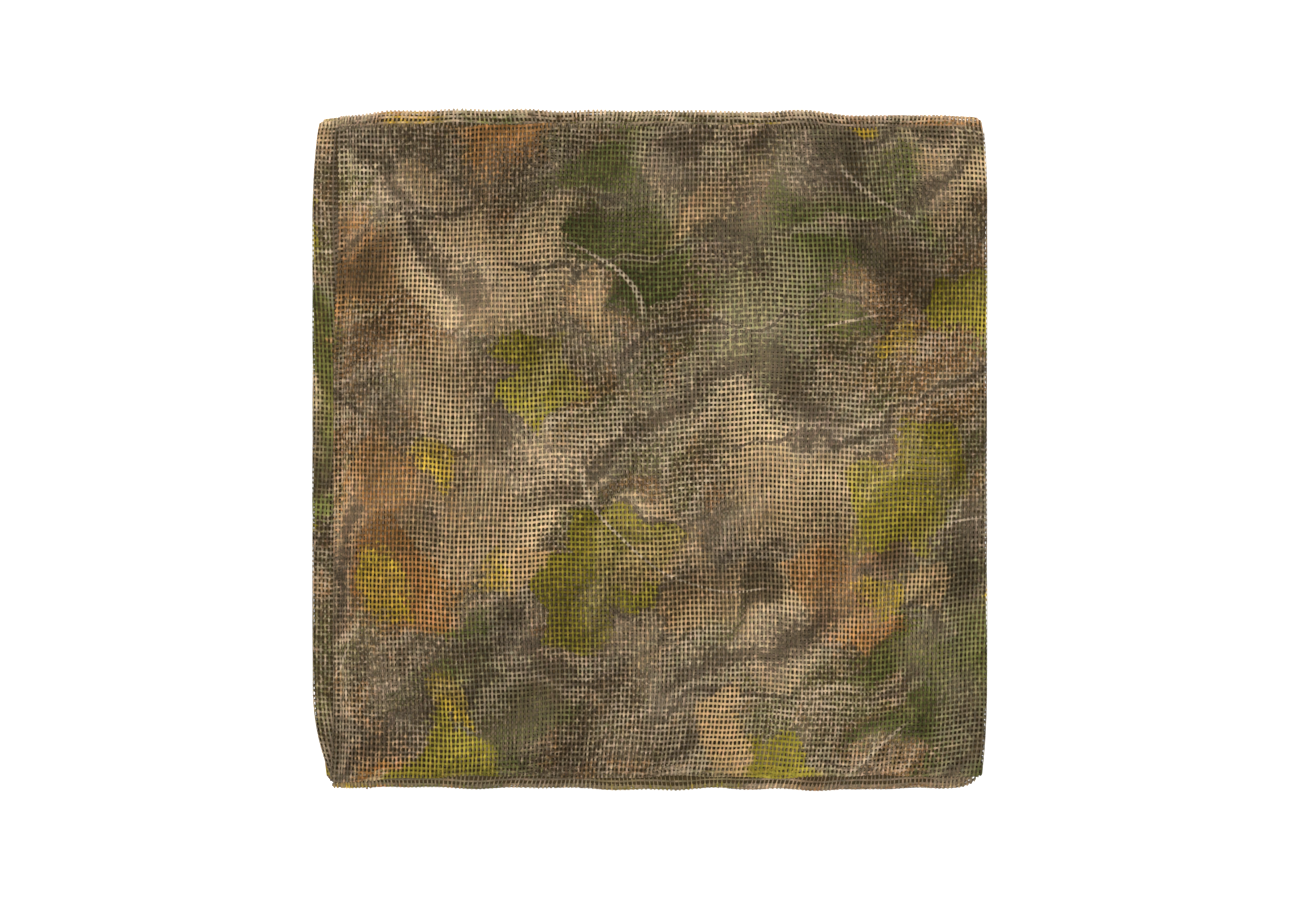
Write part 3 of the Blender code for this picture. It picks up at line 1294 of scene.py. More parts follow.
@dataclass
class InnerPlies(Piece):
    """All that lies deeper: the rest of the net as one thin sheet, folded and turned as the net is."""

    flat_step: float = 17 * MM
    turn_steps: int = 6
    fold_parts: tuple[float, ...] = (-0.345, 0.0, 0.345)
    # Painted shade: the whole sheet is darkened as if the stack's shade lay on it.
    tone: float = 0.2
    shares: tuple[float, ...] = (0.02, 0.08, 0.2, 0.35, 0.5, 0.65, 0.8, 0.92, 0.98)

    def sections(self) -> Array:
        """The strip distances at which the sheet has points.

        Returns:
            The strip distances, in metres.
        """
        at, places = 0.0, []
        for layer in range(self.top, -1, -1):
            length = self.bundle.flat_length(layer)
            start = at + (1 * MM if layer == self.top else 0)
            places.extend(np.linspace(start, at + length, int(length / self.flat_step)))
            at += length
            if layer:
                places.extend(np.linspace(at, at + self.bundle.half_turn, self.turn_steps + 1)[1:-1])
                at += self.bundle.half_turn
        return np.array(places)

    def lay(self) -> bpy.types.Object:
        """Lays the sheet.

        Returns:
            The piece.
        """
        s = self.sections()
        starts = self.bundle.fold_starts(s)
        columns, plies = [], []
        for ply in range(self.bundle.plies):
            for share in self.shares:
                columns.append(starts[ply] + (starts[ply + 1] - starts[ply]) * share)
                plies.append(ply)
            if ply < self.bundle.plies - 1:
                for part in self.fold_parts:
                    columns.append(starts[ply + 1] + part * MM)
                    plies.append(ply if part < 0 else ply + 1)
        w = np.stack(columns, axis=1)
        depth, level, _, _ = self.bundle.across(s[:, None] + 0 * w, w)
        spot = self.bundle.walk(self.even_turns(s[:, None] + 0 * w, depth, level), depth, level)
        points = np.stack([spot.x, spot.y, spot.z * self.bundle.loft(spot.x, spot.y)], axis=-1)
        rows, count = w.shape
        index = np.arange(rows * count).reshape(rows, count)
        quads = np.stack([index[:-1, :-1], index[:-1, 1:], index[1:, 1:], index[1:, :-1]], axis=-1)
        top_reach = self.bundle.flat_length(self.top)
        open_top = (s[:-1, None] < top_reach + TINY) & (np.array(plies)[None, :-1] < 2)
        out = YarnMesh()
        out.quads.append(quads[~open_top])
        out.points.append(points.reshape(-1, 3))
        out.cloth.append(np.stack([s[:, None] + 0 * w, w, 0 * w], axis=-1).reshape(-1, 3))
        bake = np.stack([w / w.max(), (s[:, None] + 0 * w) / s.max()], axis=-1)
        out.bake.append(bake.reshape(-1, 2))
        out.tones.append(np.full(rows * count, self.tone))
        return out.build("inner_plies")

    def even_turns(self, s: Array, y: Array, level: Array) -> Array:
        """Shifts strip distances so that all the plies go round a turn together.

        Args:
            s: Strip distances at the middle of the strip's thickness and of its depth.
            y: Depths.
            level: Heights above the strip's middle.

        Returns:
            The strip distances of the same sections, as measured along each ply.
        """
        rows = self.bundle.rows()
        own, left, done = np.zeros_like(s), s.copy(), np.zeros(s.shape, bool)
        walked = np.zeros_like(s)
        for layer in range(self.top, -1, -1):
            length = self.bundle.flat_length(layer)
            own_length = self.bundle.straight(rows, layer, y)[1]
            here = ~done & ((left <= length + TINY) | (layer == 0))
            own[here] = (walked + left * own_length / length)[here]
            done |= here
            left, walked = left - length, walked + own_length
            bend, own_bend = self.bundle.half_turn, math.pi * self.bundle.turn_radius(layer, level)
            here = ~done & (left <= bend)
            own[here] = (walked + left * own_bend / bend)[here]
            done |= here
            left, walked = left - bend, walked + own_bend
        return own


# ---------------------------------------------------------------- the printed mesh cloth


def linear(red: int, green: int, blue: int) -> Colour:
    """Turns a colour as seen on a screen, 0 to 255, into the shader's own values."""
    parts = [c / 255 for c in (red, green, blue)]
    return (*(p / 12.92 if p <= 0.04045 else ((p + 0.055) / 1.055) ** 2.4 for p in parts), 1.0)


def preset(node: bpy.types.Node, values: dict[str, object]) -> None:
    """Gives a node's own sockets these constants."""
    for name, value in values.items():
        node.inputs[name].default_value = value


@dataclass
class Nodes:
    """Adds nodes to a material or a node group and links them."""

    tree: bpy.types.NodeTree

    def add(self, kind: str, **settings: object) -> bpy.types.Node:
        """Adds a node with these settings.

        Args:
            kind: The node's type.
            settings: Its properties by name.

        Returns:
            The node.
        """
        node = self.tree.nodes.new(kind)
        for name, value in settings.items():
            setattr(node, name, value)
        return node

    def feed(self, socket: Socket, value: object) -> None:
        """Gives a socket a constant, or links another node's output to it.

        Args:
            socket: The input.
            value: A constant, or the output of another node.
        """
        if isinstance(value, Socket):
            self.tree.links.new(value, socket)
        else:
            socket.default_value = value

    def math(self, operation: str, *values: object, clamp: bool = False) -> Socket:
        """Adds a Math node.

        Args:
            operation: What it does.
            values: Its inputs, as numbers or outputs of other nodes.
            clamp: Whether its result is kept from 0 to 1.

        Returns:
            Its output.
        """
        node = self.add("ShaderNodeMath", operation=operation, use_clamp=clamp)
        for socket, value in zip(node.inputs, values):
            self.feed(socket, value)
        return node.outputs[0]

    def times(self, first: object, second: object) -> Socket:
        """Multiplies two values."""
        return self.math("MULTIPLY", first, second)

    def scaled(self, colour: object, gain: object) -> Socket:
        """Multiplies a colour or a place by one value.

        Args:
            colour: The colour or place.
            gain: What it is multiplied by.

        Returns:
            The node's output.
        """
        node = self.add("ShaderNodeVectorMath", operation="SCALE")
        self.feed(node.inputs[0], colour)
        self.feed(node.inputs["Scale"], gain)
        return node.outputs["Vector"]

    def vector(self, operation: str, *values: object) -> Socket:
        """Adds a Vector Math node.

        Args:
            operation: What it does.
            values: Its inputs, as constants or outputs of other nodes.

        Returns:
            Its vector.
        """
        node = self.add("ShaderNodeVectorMath", operation=operation)
        for socket, value in zip(node.inputs, values):
            self.feed(socket, value)
        return node.outputs["Vector"]

    def smooth(self, value: object, low: float, high: float, to: tuple[float, float] = (0, 1)) -> Socket:
        """Adds a smooth step.

        Args:
            value: What it reads.
            low: Where the step starts.
            high: Where it ends.
            to: The values before and after it.

        Returns:
            Its output.
        """
        node = self.add("ShaderNodeMapRange", interpolation_type="SMOOTHSTEP")
        for name, given in zip(
            ("Value", "From Min", "From Max", "To Min", "To Max"), (value, low, high, to[0], to[1])
        ):
            self.feed(node.inputs[name], given)
        return node.outputs["Result"]

    def mix(self, share: object, first: object, second: object, blend: str = "MIX") -> Socket:
        """Mixes two colours.

        Args:
            share: How much of the second there is.
            first: The first colour.
            second: The second colour.
            blend: The way they mix.

        Returns:
            The mixed colour.
        """
        node = self.add("ShaderNodeMix", data_type="RGBA", blend_type=blend, clamp_factor=True)
        self.feed(node.inputs["Factor"], share)
        colours = [socket for socket in node.inputs if socket.type == "RGBA"]
        self.feed(colours[0], first)
        self.feed(colours[1], second)
        return [socket for socket in node.outputs if socket.type == "RGBA"][0]

    def noise(self, place: object, scale: float, detail: float = 2.0, stretch: Triple = (1, 1, 1)) -> Socket:
        """Adds soft noise, of this many features a metre.

        Args:
            place: Where it is read.
            scale: Features a metre.
            detail: How much finer detail it has.
            stretch: How much denser it is along each axis.

        Returns:
            Its value, about 0.5.
        """
        if stretch != (1, 1, 1):
            place = self.vector("MULTIPLY", place, stretch)
        node = self.add("ShaderNodeTexNoise", noise_dimensions="2D")
        self.feed(node.inputs["Vector"], place)
        preset(node, {"Scale": scale, "Detail": detail, "Roughness": 0.55})
        return node.outputs[0]


def group_with(
    name: str, inputs: dict[str, tuple[str, object]], outputs: dict[str, str]
) -> bpy.types.NodeTree:
    """Starts a shader node group.

    Args:
        name: The group's name.
        inputs: Its inputs' names, socket kinds and default values.
        outputs: Its outputs' names and socket kinds.

    Returns:
        The group, with its input and output nodes.
    """
    tree = bpy.data.node_groups.new(name, "ShaderNodeTree")
    for label, (kind, value) in inputs.items():
        socket = tree.interface.new_socket(label, in_out="INPUT", socket_type=f"NodeSocket{kind}")
        if value is not None:
            socket.default_value = value
    for label, kind in outputs.items():
        tree.interface.new_socket(label, in_out="OUTPUT", socket_type=f"NodeSocket{kind}")
    tree.nodes.new("NodeGroupInput")
    tree.nodes.new("NodeGroupOutput")
    return tree


def leaf_scatter() -> bpy.types.NodeTree:
    """Makes the group that scatters one kind of leaf: each lies in its own cell, turned its own way.

    Returns:
        The group.
    """
    inputs = {
        "Cloth": ("Vector", None),
        "Leaves a metre": ("Float", 20.0),
        "Shift": ("Vector", (0.0, 0.0, 0.0)),
        "Half length": ("Float", 0.5),
        "Half width": ("Float", 0.2),
        "Soft edge": ("Float", 0.02),
        "Ragged": ("Float", 0.0),
        "Share present": ("Float", 0.6),
        "Lobes": ("Float", 0.0),
        "Lobe count": ("Float", 9.0),
    }
    tree = group_with("leaf_scatter", inputs, {name: "Float" for name in ("Leaf", "Half", "Rib", "Along")})
    nodes = Nodes(tree)
    given, out = tree.nodes["Group Input"].outputs, tree.nodes["Group Output"].inputs
    place = nodes.vector("ADD", nodes.scaled(given["Cloth"], given["Leaves a metre"]), given["Shift"])
    cells = nodes.add("ShaderNodeTexVoronoi", voronoi_dimensions="2D", feature="F1")
    preset(cells, {"Scale": 1.0})
    nodes.feed(cells.inputs["Vector"], place)
    chances = nodes.add("ShaderNodeSeparateColor")
    nodes.feed(chances.inputs[0], cells.outputs["Color"])
    local = nodes.vector("SUBTRACT", place, cells.outputs["Position"])
    turned = nodes.add("ShaderNodeVectorRotate", rotation_type="Z_AXIS")
    nodes.feed(turned.inputs["Vector"], local)
    nodes.feed(turned.inputs["Angle"], nodes.times(chances.outputs[0], 6.2832))
    split = nodes.add("ShaderNodeSeparateXYZ")
    nodes.feed(split.inputs[0], turned.outputs[0])
    along, across = split.outputs[0], split.outputs[1]
    size = nodes.math("MULTIPLY_ADD", chances.outputs[2], 0.45, 0.62)
    along = nodes.math("DIVIDE", along, nodes.times(given["Half length"], size))
    bent = nodes.times(nodes.times(along, along), 0.045)
    across = nodes.math("SUBTRACT", across, bent)
    taper = nodes.math("SUBTRACT", 1.0, nodes.times(along, along))
    taper = nodes.times(taper, nodes.math("MULTIPLY_ADD", along, -0.38, 1.0))
    lobes = nodes.math("SINE", nodes.times(along, given["Lobe count"]))
    lobed = nodes.math("MULTIPLY_ADD", lobes, given["Lobes"], 1.0)
    width = nodes.times(nodes.times(given["Half width"], size), lobed)
    inside = nodes.math("SUBTRACT", nodes.times(width, taper), nodes.math("ABSOLUTE", across))
    inside = nodes.math("ADD", inside, given["Ragged"])
    leaf = nodes.math("DIVIDE", inside, given["Soft edge"], clamp=True)
    present = nodes.math("LESS_THAN", chances.outputs[1], given["Share present"])
    nodes.feed(out["Leaf"], nodes.times(leaf, present))
    nodes.feed(out["Half"], nodes.smooth(across, -0.12, 0.12))
    nodes.feed(out["Rib"], nodes.smooth(nodes.math("ABSOLUTE", across), 0.008, 0.035, (1, 0)))
    nodes.feed(out["Along"], nodes.smooth(along, -1.0, 1.0))
    return tree


@dataclass(frozen=True)
class LeafKind:
    """One kind of printed leaf: how many there are, their shape, and their light and dark colours."""

    a_metre: float
    shift: Triple
    half_length: float
    half_width: float
    present: float
    light: Colour
    dark: Colour
    cover: float = 0.9
    soft: float = 0.07
    ragged: float = 0.30
    fade: float = 0.5
    lobes: float = 0.0
    lobe_count: float = 9.0
    rib: float = 0.25


@dataclass(frozen=True)
class WoodlandPrint:
    """The printed pattern: leaves of a few kinds, thin twigs and mottled ground, in a layout of its own."""

    ground_light: Colour = linear(172, 151, 124)
    ground_mid: Colour = linear(122, 106, 80)
    ground_dark: Colour = linear(82, 67, 49)
    ground_green: Colour = linear(110, 106, 64)
    ground_rust: Colour = linear(150, 108, 62)
    twig: Colour = linear(72, 60, 46)
    twig_edge: Colour = linear(184, 164, 136)
    kinds: tuple[LeafKind, ...] = (
        LeafKind(
            7.6, (3.1, 7.7, 0), 0.58, 0.40, 0.70, linear(196, 138, 76), linear(138, 92, 44),
            0.85, 0.14, 0.25, 0.3,
        ),
        LeafKind(
            7.6, (19.2, 24.6, 0), 0.62, 0.38, 0.84, linear(124, 125, 64), linear(61, 66, 32),
            0.95, 0.12, 0.34, 0.15, 0.35, 15.0,
        ),
        LeafKind(
            10.2, (11.3, 2.9, 0), 0.52, 0.33, 0.60, linear(192, 166, 126), linear(152, 124, 88),
            0.94, 0.08, 0.16, 0.4,
        ),
        LeafKind(
            14.0, (27.9, 12.4, 0), 0.46, 0.24, 0.34, linear(104, 90, 68), linear(60, 50, 34),
            0.8, 0.10, 0.2,
        ),
        LeafKind(
            11.6, (5.7, 17.1, 0), 0.52, 0.31, 0.54, linear(164, 148, 56), linear(106, 95, 24),
            0.95, 0.05, 0.12, 0.35, 0.28, 7.5,
        ),
        LeafKind(
            17.0, (8.3, 29.7, 0), 0.44, 0.23, 0.36, linear(190, 158, 116), linear(160, 127, 85),
            0.88, 0.09, 0.14,
        ),
        LeafKind(
            19.0, (14.9, 35.3, 0), 0.44, 0.26, 0.26, linear(206, 172, 62), linear(150, 122, 34),
            0.92, 0.10, 0.18,
        ),
    )

    def group(self) -> bpy.types.NodeTree:
        """Makes the group that puts out the print's colour.

        Returns:
            The group.
        """
        tree = group_with("woodland_print", {"Cloth": ("Vector", None)}, {"Color": "Color"})
        nodes = Nodes(tree)
        cloth, out = tree.nodes["Group Input"].outputs["Cloth"], tree.nodes["Group Output"].inputs["Color"]
        waver = nodes.add("ShaderNodeTexNoise", noise_dimensions="2D")
        nodes.feed(waver.inputs["Vector"], cloth)
        preset(waver, {"Scale": 36.0, "Detail": 4.0})
        shaken = nodes.vector("SUBTRACT", waver.outputs["Color"], (0.5, 0.5, 0.5))
        shaken = nodes.vector("MULTIPLY", shaken, (0.028, 0.028, 0.0))
        place = nodes.vector("ADD", cloth, shaken)
        grain = nodes.noise(cloth, 430.0, 2.0)
        slanted = nodes.add("ShaderNodeVectorRotate", rotation_type="Z_AXIS")
        nodes.feed(slanted.inputs["Vector"], place)
        preset(slanted, {"Angle": 0.75})
        streaks = nodes.noise(slanted.outputs[0], 60.0, 3.0, (0.5, 2.2, 1))
        clouds = nodes.noise(cloth, 13.0, 2.0)
        fading = nodes.smooth(nodes.noise(nodes.vector("ADD", place, (0.7, 0.2, 0.0)), 24.0, 3.0), 0.40, 0.54)
        level = nodes.math("ADD", nodes.times(streaks, 0.65), nodes.times(grain, 0.5))
        tints = nodes.noise(place, 58.0, 3.0)
        colour = nodes.mix(nodes.smooth(clouds, 0.46, 0.60), self.ground_mid, self.ground_green)
        warmth = nodes.noise(nodes.vector("ADD", place, (3.1, 5.2, 0.0)), 9.0, 1.0)
        colour = nodes.mix(nodes.smooth(warmth, 0.50, 0.60, (0, 0.85)), colour, self.ground_rust)
        colour = nodes.mix(nodes.smooth(tints, 0.52, 0.68, (0, 0.7)), colour, self.ground_rust)
        colour = nodes.mix(nodes.smooth(tints, 0.32, 0.48, (0.7, 0)), colour, self.ground_green)
        colour = nodes.mix(nodes.smooth(level, 0.40, 0.64, (0.85, 0)), colour, self.ground_dark)
        colour = nodes.mix(nodes.smooth(level, 0.52, 0.78, (0, 0.9)), colour, self.ground_light)
        flecks = nodes.noise(cloth, 620.0, 1.0)
        colour = nodes.mix(nodes.smooth(flecks, 0.55, 0.70, (0, 0.6)), colour, self.ground_light)
        colour = nodes.mix(nodes.smooth(flecks, 0.30, 0.44, (0.6, 0)), colour, self.ground_dark)
        scatter = leaf_scatter()
        for number, kind in enumerate(self.kinds):
            colour = self.scatter_leaves(nodes, scatter, place, colour, kind, (streaks, grain, fading))
            if number == 3:
                colour = self.draw_twigs(nodes, place, colour, grain)
        colour = self.draw_stalks(nodes, cloth, colour)
        shade = nodes.noise(slanted.outputs[0], 18.0, 4.0, (0.6, 1.6, 1))
        # Lighter chips keep the shaded places textured.
        chips = nodes.smooth(nodes.noise(cloth, 500.0, 2.0), 0.48, 0.62)
        chips = nodes.times(chips, nodes.smooth(shade, 0.42, 0.56, (0.6, 0.0)))
        light = nodes.smooth(shade, 0.34, 0.64, (0.53, 1.16))
        nodes.feed(out, nodes.scaled(colour, nodes.math("MULTIPLY_ADD", light, chips, light)))
        return tree

    def scatter_leaves(
        self,
        nodes: Nodes,
        scatter: bpy.types.NodeTree,
        place: Socket,
        colour: Socket,
        kind: LeafKind,
        noises: tuple[Socket, ...],
    ) -> Socket:
        """Lays one kind of leaf over a colour.

        Args:
            nodes: The print's nodes.
            scatter: The group that scatters leaves.
            place: Where the print is read.
            colour: The colour under the leaves.
            kind: The kind of leaf.
            noises: Streaks for the leaves' uneven colour, fine mottling for their ragged edges, and a mask
                for where they fade into the ground.

        Returns:
            The colour with the leaves.
        """
        streaks, grain, fading = noises
        leaves = nodes.add("ShaderNodeGroup", node_tree=scatter)
        nodes.feed(leaves.inputs["Cloth"], place)
        nodes.feed(leaves.inputs["Ragged"], nodes.math("MULTIPLY_ADD", grain, kind.ragged, -kind.ragged / 2))
        own_values = {
            "Leaves a metre": kind.a_metre,
            "Shift": kind.shift,
            "Half length": kind.half_length,
            "Half width": kind.half_width,
            "Soft edge": kind.soft,
            "Share present": kind.present,
            "Lobes": kind.lobes,
            "Lobe count": kind.lobe_count,
        }
        preset(leaves, own_values)
        uneven = nodes.math("MULTIPLY_ADD", streaks, 0.9, nodes.math("MULTIPLY_ADD", grain, 0.5, -0.60))
        uneven = nodes.math("MULTIPLY_ADD", leaves.outputs["Along"], 0.45, uneven)
        shade = nodes.math("MULTIPLY_ADD", leaves.outputs["Half"], 0.35, uneven, clamp=True)
        own = nodes.mix(shade, kind.dark, kind.light)
        own = nodes.mix(nodes.times(leaves.outputs["Rib"], kind.rib), own, kind.dark)
        cover = nodes.smooth(leaves.outputs["Leaf"], 0.1, 1.0, (0, kind.cover))
        cover = nodes.times(cover, nodes.math("MULTIPLY_ADD", fading, kind.fade, 1 - kind.fade))
        return nodes.mix(cover, colour, own)

    def draw_stalks(
        self, nodes: Nodes, cloth: Socket, colour: Socket
    ) -> Socket:
        """Draws a few long thin pale stalks over a colour.

        Args:
            nodes: The print's nodes.
            cloth: Where the print is read.
            colour: The colour under the stalks.

        Returns:
            The colour with the stalks.
        """
        bends = nodes.noise(cloth, 4.2, 1.0, (1.0, 1.3, 1))
        off = nodes.math("ABSOLUTE", nodes.math("SUBTRACT", bends, 0.47))
        broken = nodes.smooth(nodes.noise(cloth, 10.0, 1.0), 0.50, 0.56)
        line = nodes.times(nodes.smooth(off, 0.0016, 0.0042, (0.7, 0)), broken)
        return nodes.mix(line, colour, self.twig_edge)

    def draw_twigs(
        self,
        nodes: Nodes,
        place: Socket,
        colour: Socket,
        grain: Socket,
    ) -> Socket:
        """Draws broken branches and thin twigs over a colour.

        Args:
            nodes: The print's nodes.
            place: Where the print is read.
            colour: The colour under the twigs.
            grain: Fine mottling, which breaks their edges.

        Returns:
            The colour with the twigs.
        """
        rough = nodes.math("MULTIPLY_ADD", grain, 0.07, -0.035)
        for scale, stretch, wide in ((5.0, (1.3, 0.8, 1), 0.030), (11.0, (0.7, 1.5, 1), 0.024)):
            bends = nodes.noise(place, scale, 1.0, stretch)
            off = nodes.math("ABSOLUTE", nodes.math("SUBTRACT", bends, 0.5))
            off = nodes.math("ADD", off, rough)
            broken = nodes.smooth(nodes.noise(place, 9.0 + scale, 0.0), 0.38, 0.52)
            rim = nodes.times(nodes.smooth(off, wide * 1.2, wide * 2.2, (1, 0)), broken)
            colour = nodes.mix(nodes.times(rim, 0.35), colour, self.twig_edge)
            line = nodes.times(nodes.smooth(off, wide * 0.2, wide * 1.4, (1, 0)), broken)
            colour = nodes.mix(nodes.times(line, 0.8), colour, self.twig)
        return colour


def yarn_speckle(weave: Weave) -> bpy.types.NodeTree:
    """Makes the group that makes yarns and single stitches lighter or darker than their neighbours at random,
    and paints highlights at the knots.

    Args:
        weave: The mesh, for its pitches.

    Returns:
        The group.
    """
    inputs = {"Color": ("Color", None), "Cloth": ("Vector", None), "Amount": ("Float", 0.3)}
    tree = group_with("yarn_speckle", inputs, {"Color": "Color", "Height": "Float"})
    nodes = Nodes(tree)
    given, out = tree.nodes["Group Input"].outputs, tree.nodes["Group Output"].inputs
    pitches = (1 / weave.upright_pitch, 1 / weave.cross_pitch, 1.0)
    stitches = nodes.vector("MULTIPLY", given["Cloth"], pitches)
    whole = nodes.vector("FLOOR", nodes.vector("ADD", stitches, (0.5, 0.5, 0.0)))
    stitch = nodes.add("ShaderNodeTexWhiteNoise", noise_dimensions="3D")
    nodes.feed(stitch.inputs["Vector"], whole)
    kind = nodes.add("ShaderNodeSeparateXYZ")
    nodes.feed(kind.inputs[0], given["Cloth"])
    fibres = nodes.noise(given["Cloth"], 1900.0, 2.0)
    fleck = nodes.math("ADD", nodes.times(stitch.outputs[0], 0.6), nodes.times(fibres, 0.8))
    fleck = nodes.math("SUBTRACT", fleck, 0.7)
    gain = nodes.math("MULTIPLY_ADD", fleck, given["Amount"], 1.10)
    # Painted highlight: the yarns are lighter at their knots, where they cross.
    angles = nodes.add("ShaderNodeSeparateXYZ")
    nodes.feed(angles.inputs[0], nodes.vector("MULTIPLY", stitches, (2 * math.pi, 2 * math.pi, 0.0)))
    waves = [nodes.math("COSINE", angles.outputs[axis]) for axis in (0, 1)]
    knot_highlight = nodes.times(*(nodes.math("MULTIPLY_ADD", wave, 0.5, 0.5) for wave in waves))
    gain = nodes.times(gain, nodes.math("MULTIPLY_ADD", knot_highlight, 0.20, 0.90))
    pull = nodes.smooth(nodes.noise(given["Cloth"], 12.0, 1.0), 0.38, 0.62, (-0.32, 0.02))
    gain = nodes.times(gain, nodes.math("MULTIPLY_ADD", kind.outputs[2], pull, 1.0))
    tint = nodes.vector("MULTIPLY_ADD", stitch.outputs["Color"], (0.12, 0.10, 0.13), (0.94, 0.95, 0.935))
    nodes.feed(out["Color"], nodes.scaled(nodes.vector("MULTIPLY", given["Color"], tint), gain))
    nodes.feed(out["Height"], fibres)
    return tree


@dataclass(frozen=True)
class MeshCloth:
    """The finish of the printed mesh: matt yarn, greyer at its folds' bands, and browner and darker with
    painted shade where its ply lies deep.
    """

    name: str = "printed_mesh"
    speckle: float = 0.6
    roughness: float = 0.85
    gloss: float = 0.08
    fibre_height: float = 0.12 * MM
    shade_brown: Colour = linear(128, 104, 58)
    off_tone_grey: Colour = linear(158, 138, 112)

    def make(self, printed: bpy.types.NodeTree, speckle: bpy.types.NodeTree) -> bpy.types.Material:
        """Makes the material.

        Args:
            printed: The group of the printed pattern.
            speckle: The group of the yarns' uneven colour.

        Returns:
            The material.
        """
        material = bpy.data.materials.new(self.name)
        material.use_nodes = True
        nodes = Nodes(material.node_tree)
        shader = material.node_tree.nodes["Principled BSDF"]
        cloth = nodes.add("ShaderNodeAttribute", attribute_name="cloth").outputs["Vector"]
        tone = nodes.add("ShaderNodeAttribute", attribute_name="tone").outputs["Fac"]
        pattern = nodes.add("ShaderNodeGroup", node_tree=printed)
        nodes.feed(pattern.inputs["Cloth"], cloth)
        yarns = nodes.add("ShaderNodeGroup", node_tree=speckle)
        nodes.feed(yarns.inputs["Cloth"], cloth)
        # Where the tone departs from 1, on the folds' bands with their painted light and shade and on the
        # shaded plies, the print is greyed towards a pale grey-tan.
        off_top = nodes.math("ABSOLUTE", nodes.math("SUBTRACT", tone, 1.0))
        off_tone_grey = nodes.mix(nodes.smooth(off_top, 0.05, 0.2, (0.0, 0.62)), pattern.outputs["Color"], self.off_tone_grey)
        # Painted shade: plies that lie deep are turned towards a shade brown.
        shade_mix = nodes.smooth(tone, 0.2, 0.5, (0.8, 0.0))
        nodes.feed(yarns.inputs["Color"], nodes.mix(shade_mix, off_tone_grey, self.shade_brown))
        preset(yarns, {"Amount": self.speckle})
        bump = nodes.add("ShaderNodeBump")
        preset(bump, {"Strength": 0.5, "Distance": self.fibre_height})
        nodes.feed(bump.inputs["Height"], yarns.outputs["Height"])
        nodes.feed(shader.inputs["Normal"], bump.outputs["Normal"])
        # The tone's painted light and shade scales the colour.
        nodes.feed(shader.inputs["Base Color"], nodes.scaled(yarns.outputs["Color"], tone))
        preset(shader, {"Roughness": self.roughness, "Specular IOR Level": self.gloss})
        return material


# ---------------------------------------------------------------- floor, light and camera


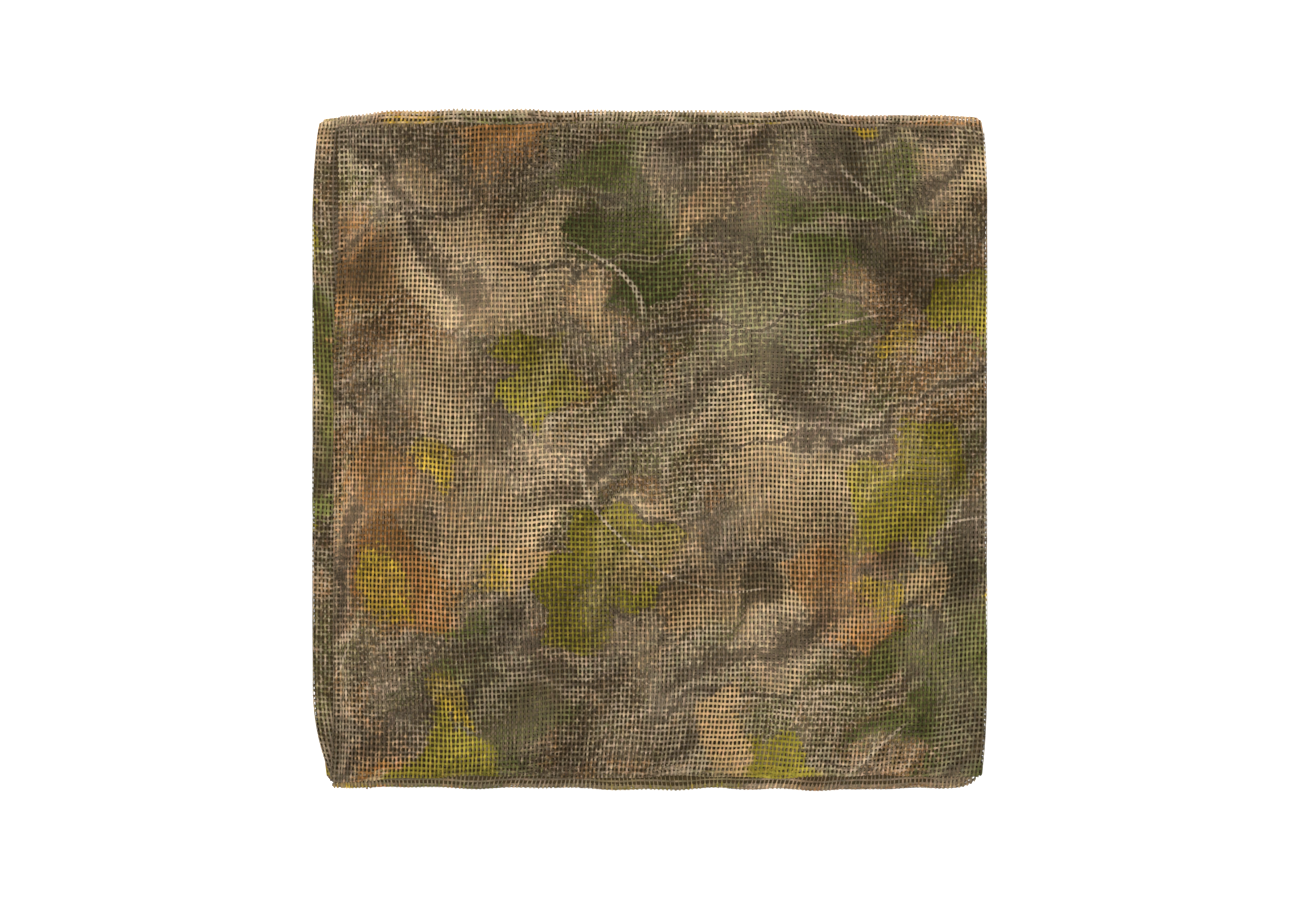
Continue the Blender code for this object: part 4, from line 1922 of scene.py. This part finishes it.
@dataclass(frozen=True)
class Studio:
    """A pale floor, soft light and a camera that looks straight down on the net."""

    floor_half: float = 6.0
    floor_drop: float = 0.2 * MM
    floor_glow: float = 0.45
    room_light: float = 0.85
    paper: Colour = (0.92, 0.92, 0.92, 1)
    white: Colour = (1, 1, 1, 1)
    lens: float = 100.0
    sensor: float = 36.0
    net_top: float = 0.0325
    centre_pixel: tuple[float, float] = (649.5, 450.0)

    def make_floor(self) -> None:
        """Makes the floor, a little under the net."""
        bpy.ops.object.select_all(action="DESELECT")
        bpy.ops.mesh.primitive_plane_add(size=2 * self.floor_half, location=(0, 0, -self.floor_drop))
        floor = bpy.context.object
        floor.name = "floor"
        bpy.ops.object.transform_apply(location=True, rotation=True, scale=True)
        material = bpy.data.materials.new("floor_paper")
        material.use_nodes = True
        shader = material.node_tree.nodes["Principled BSDF"]
        preset(shader, {"Base Color": self.paper, "Roughness": 0.9})
        preset(shader, {"Emission Color": self.white, "Emission Strength": self.floor_glow})
        floor.data.materials.append(material)

    def set_lights(self) -> None:
        """Sets the world's even light, and one large soft light over the net."""
        world = bpy.data.worlds.new("soft_room")
        bpy.context.scene.world = world
        world.use_nodes = True
        background = world.node_tree.nodes["Background"]
        preset(background, {"Color": self.white, "Strength": self.room_light})
        for name, place, size, power in (
            ("overhead", (-0.4, 0.6, 2.2), 2.4, 24.0),
            ("side_fill", (1.6, -0.6, 1.6), 1.8, 6.0),
        ):
            light = bpy.data.lights.new(name, "AREA")
            light.shape = "SQUARE"
            light.size = size
            light.energy = power
            lamp = bpy.data.objects.new(name, light)
            lamp.location = place
            aim = -lamp.location.normalized()
            lamp.rotation_euler = aim.to_track_quat("-Z", "Y").to_euler()
            bpy.context.scene.collection.objects.link(lamp)

    def set_camera(self) -> None:
        """Sets the camera straight over the net, with the net's middle at its pixel of the frame."""
        camera = bpy.data.cameras.new("camera")
        camera.lens, camera.sensor_width, camera.sensor_fit = self.lens, self.sensor, "HORIZONTAL"
        camera.clip_start, camera.clip_end = 0.05, 20.0
        height = self.lens / self.sensor * IMAGE_WIDTH * METRES_A_PIXEL
        eye = bpy.data.objects.new("camera", camera)
        off_x = (IMAGE_WIDTH / 2 - self.centre_pixel[0]) * METRES_A_PIXEL
        off_y = (self.centre_pixel[1] - IMAGE_HEIGHT / 2) * METRES_A_PIXEL
        eye.location = (off_x, off_y, self.net_top + height)
        bpy.context.scene.collection.objects.link(eye)
        bpy.context.scene.camera = eye

    def set_view(self) -> None:
        """Shows colours as they are."""
        bpy.context.scene.view_settings.view_transform = "Standard"
        bpy.context.scene.view_settings.look = "None"


def main() -> None:
    """Builds the net's pieces in order, dresses them, and sets the scene."""
    logging.basicConfig(level=logging.INFO, format="%(message)s")
    bundle, weave = Bundle(), Weave()
    inner = Bundle(inset=0.7 * MM, edge_inset=2.0 * MM, ply_squeeze=0.84)
    printed, speckle = WoodlandPrint().group(), yarn_speckle(weave)
    cloth = MeshCloth().make(printed, speckle)
    top = TopPly(bundle, weave)
    dressed = [
        top.weave_uprights(),
        top.weave_crosses(),
        SecondPly(bundle, weave).weave_yarns(),
        Rim(bundle, weave, (1, 3, 5)).weave_folds("front_rim"),
        Rim(bundle, weave, (0, 2, 4)).weave_folds("back_rim"),
        TurnEnds(bundle, weave, (2, 4, 6, 8, 10)).weave_turns("left_turns"),
        TurnEnds(bundle, weave, (1, 3, 5, 7, 9, 11)).weave_turns("right_turns"),
    ]
    core = InnerPlies(inner, weave).lay()
    for piece in [*dressed, core]:
        LOG.info("%s: %d faces", piece.name, len(piece.data.polygons))
        piece.data.materials.append(cloth)
        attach(piece, "root")
        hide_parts("net")
    studio = Studio()
    studio.make_floor()
    studio.set_lights()
    studio.set_camera()
    studio.set_view()


if __name__ == "__main__":
    main()
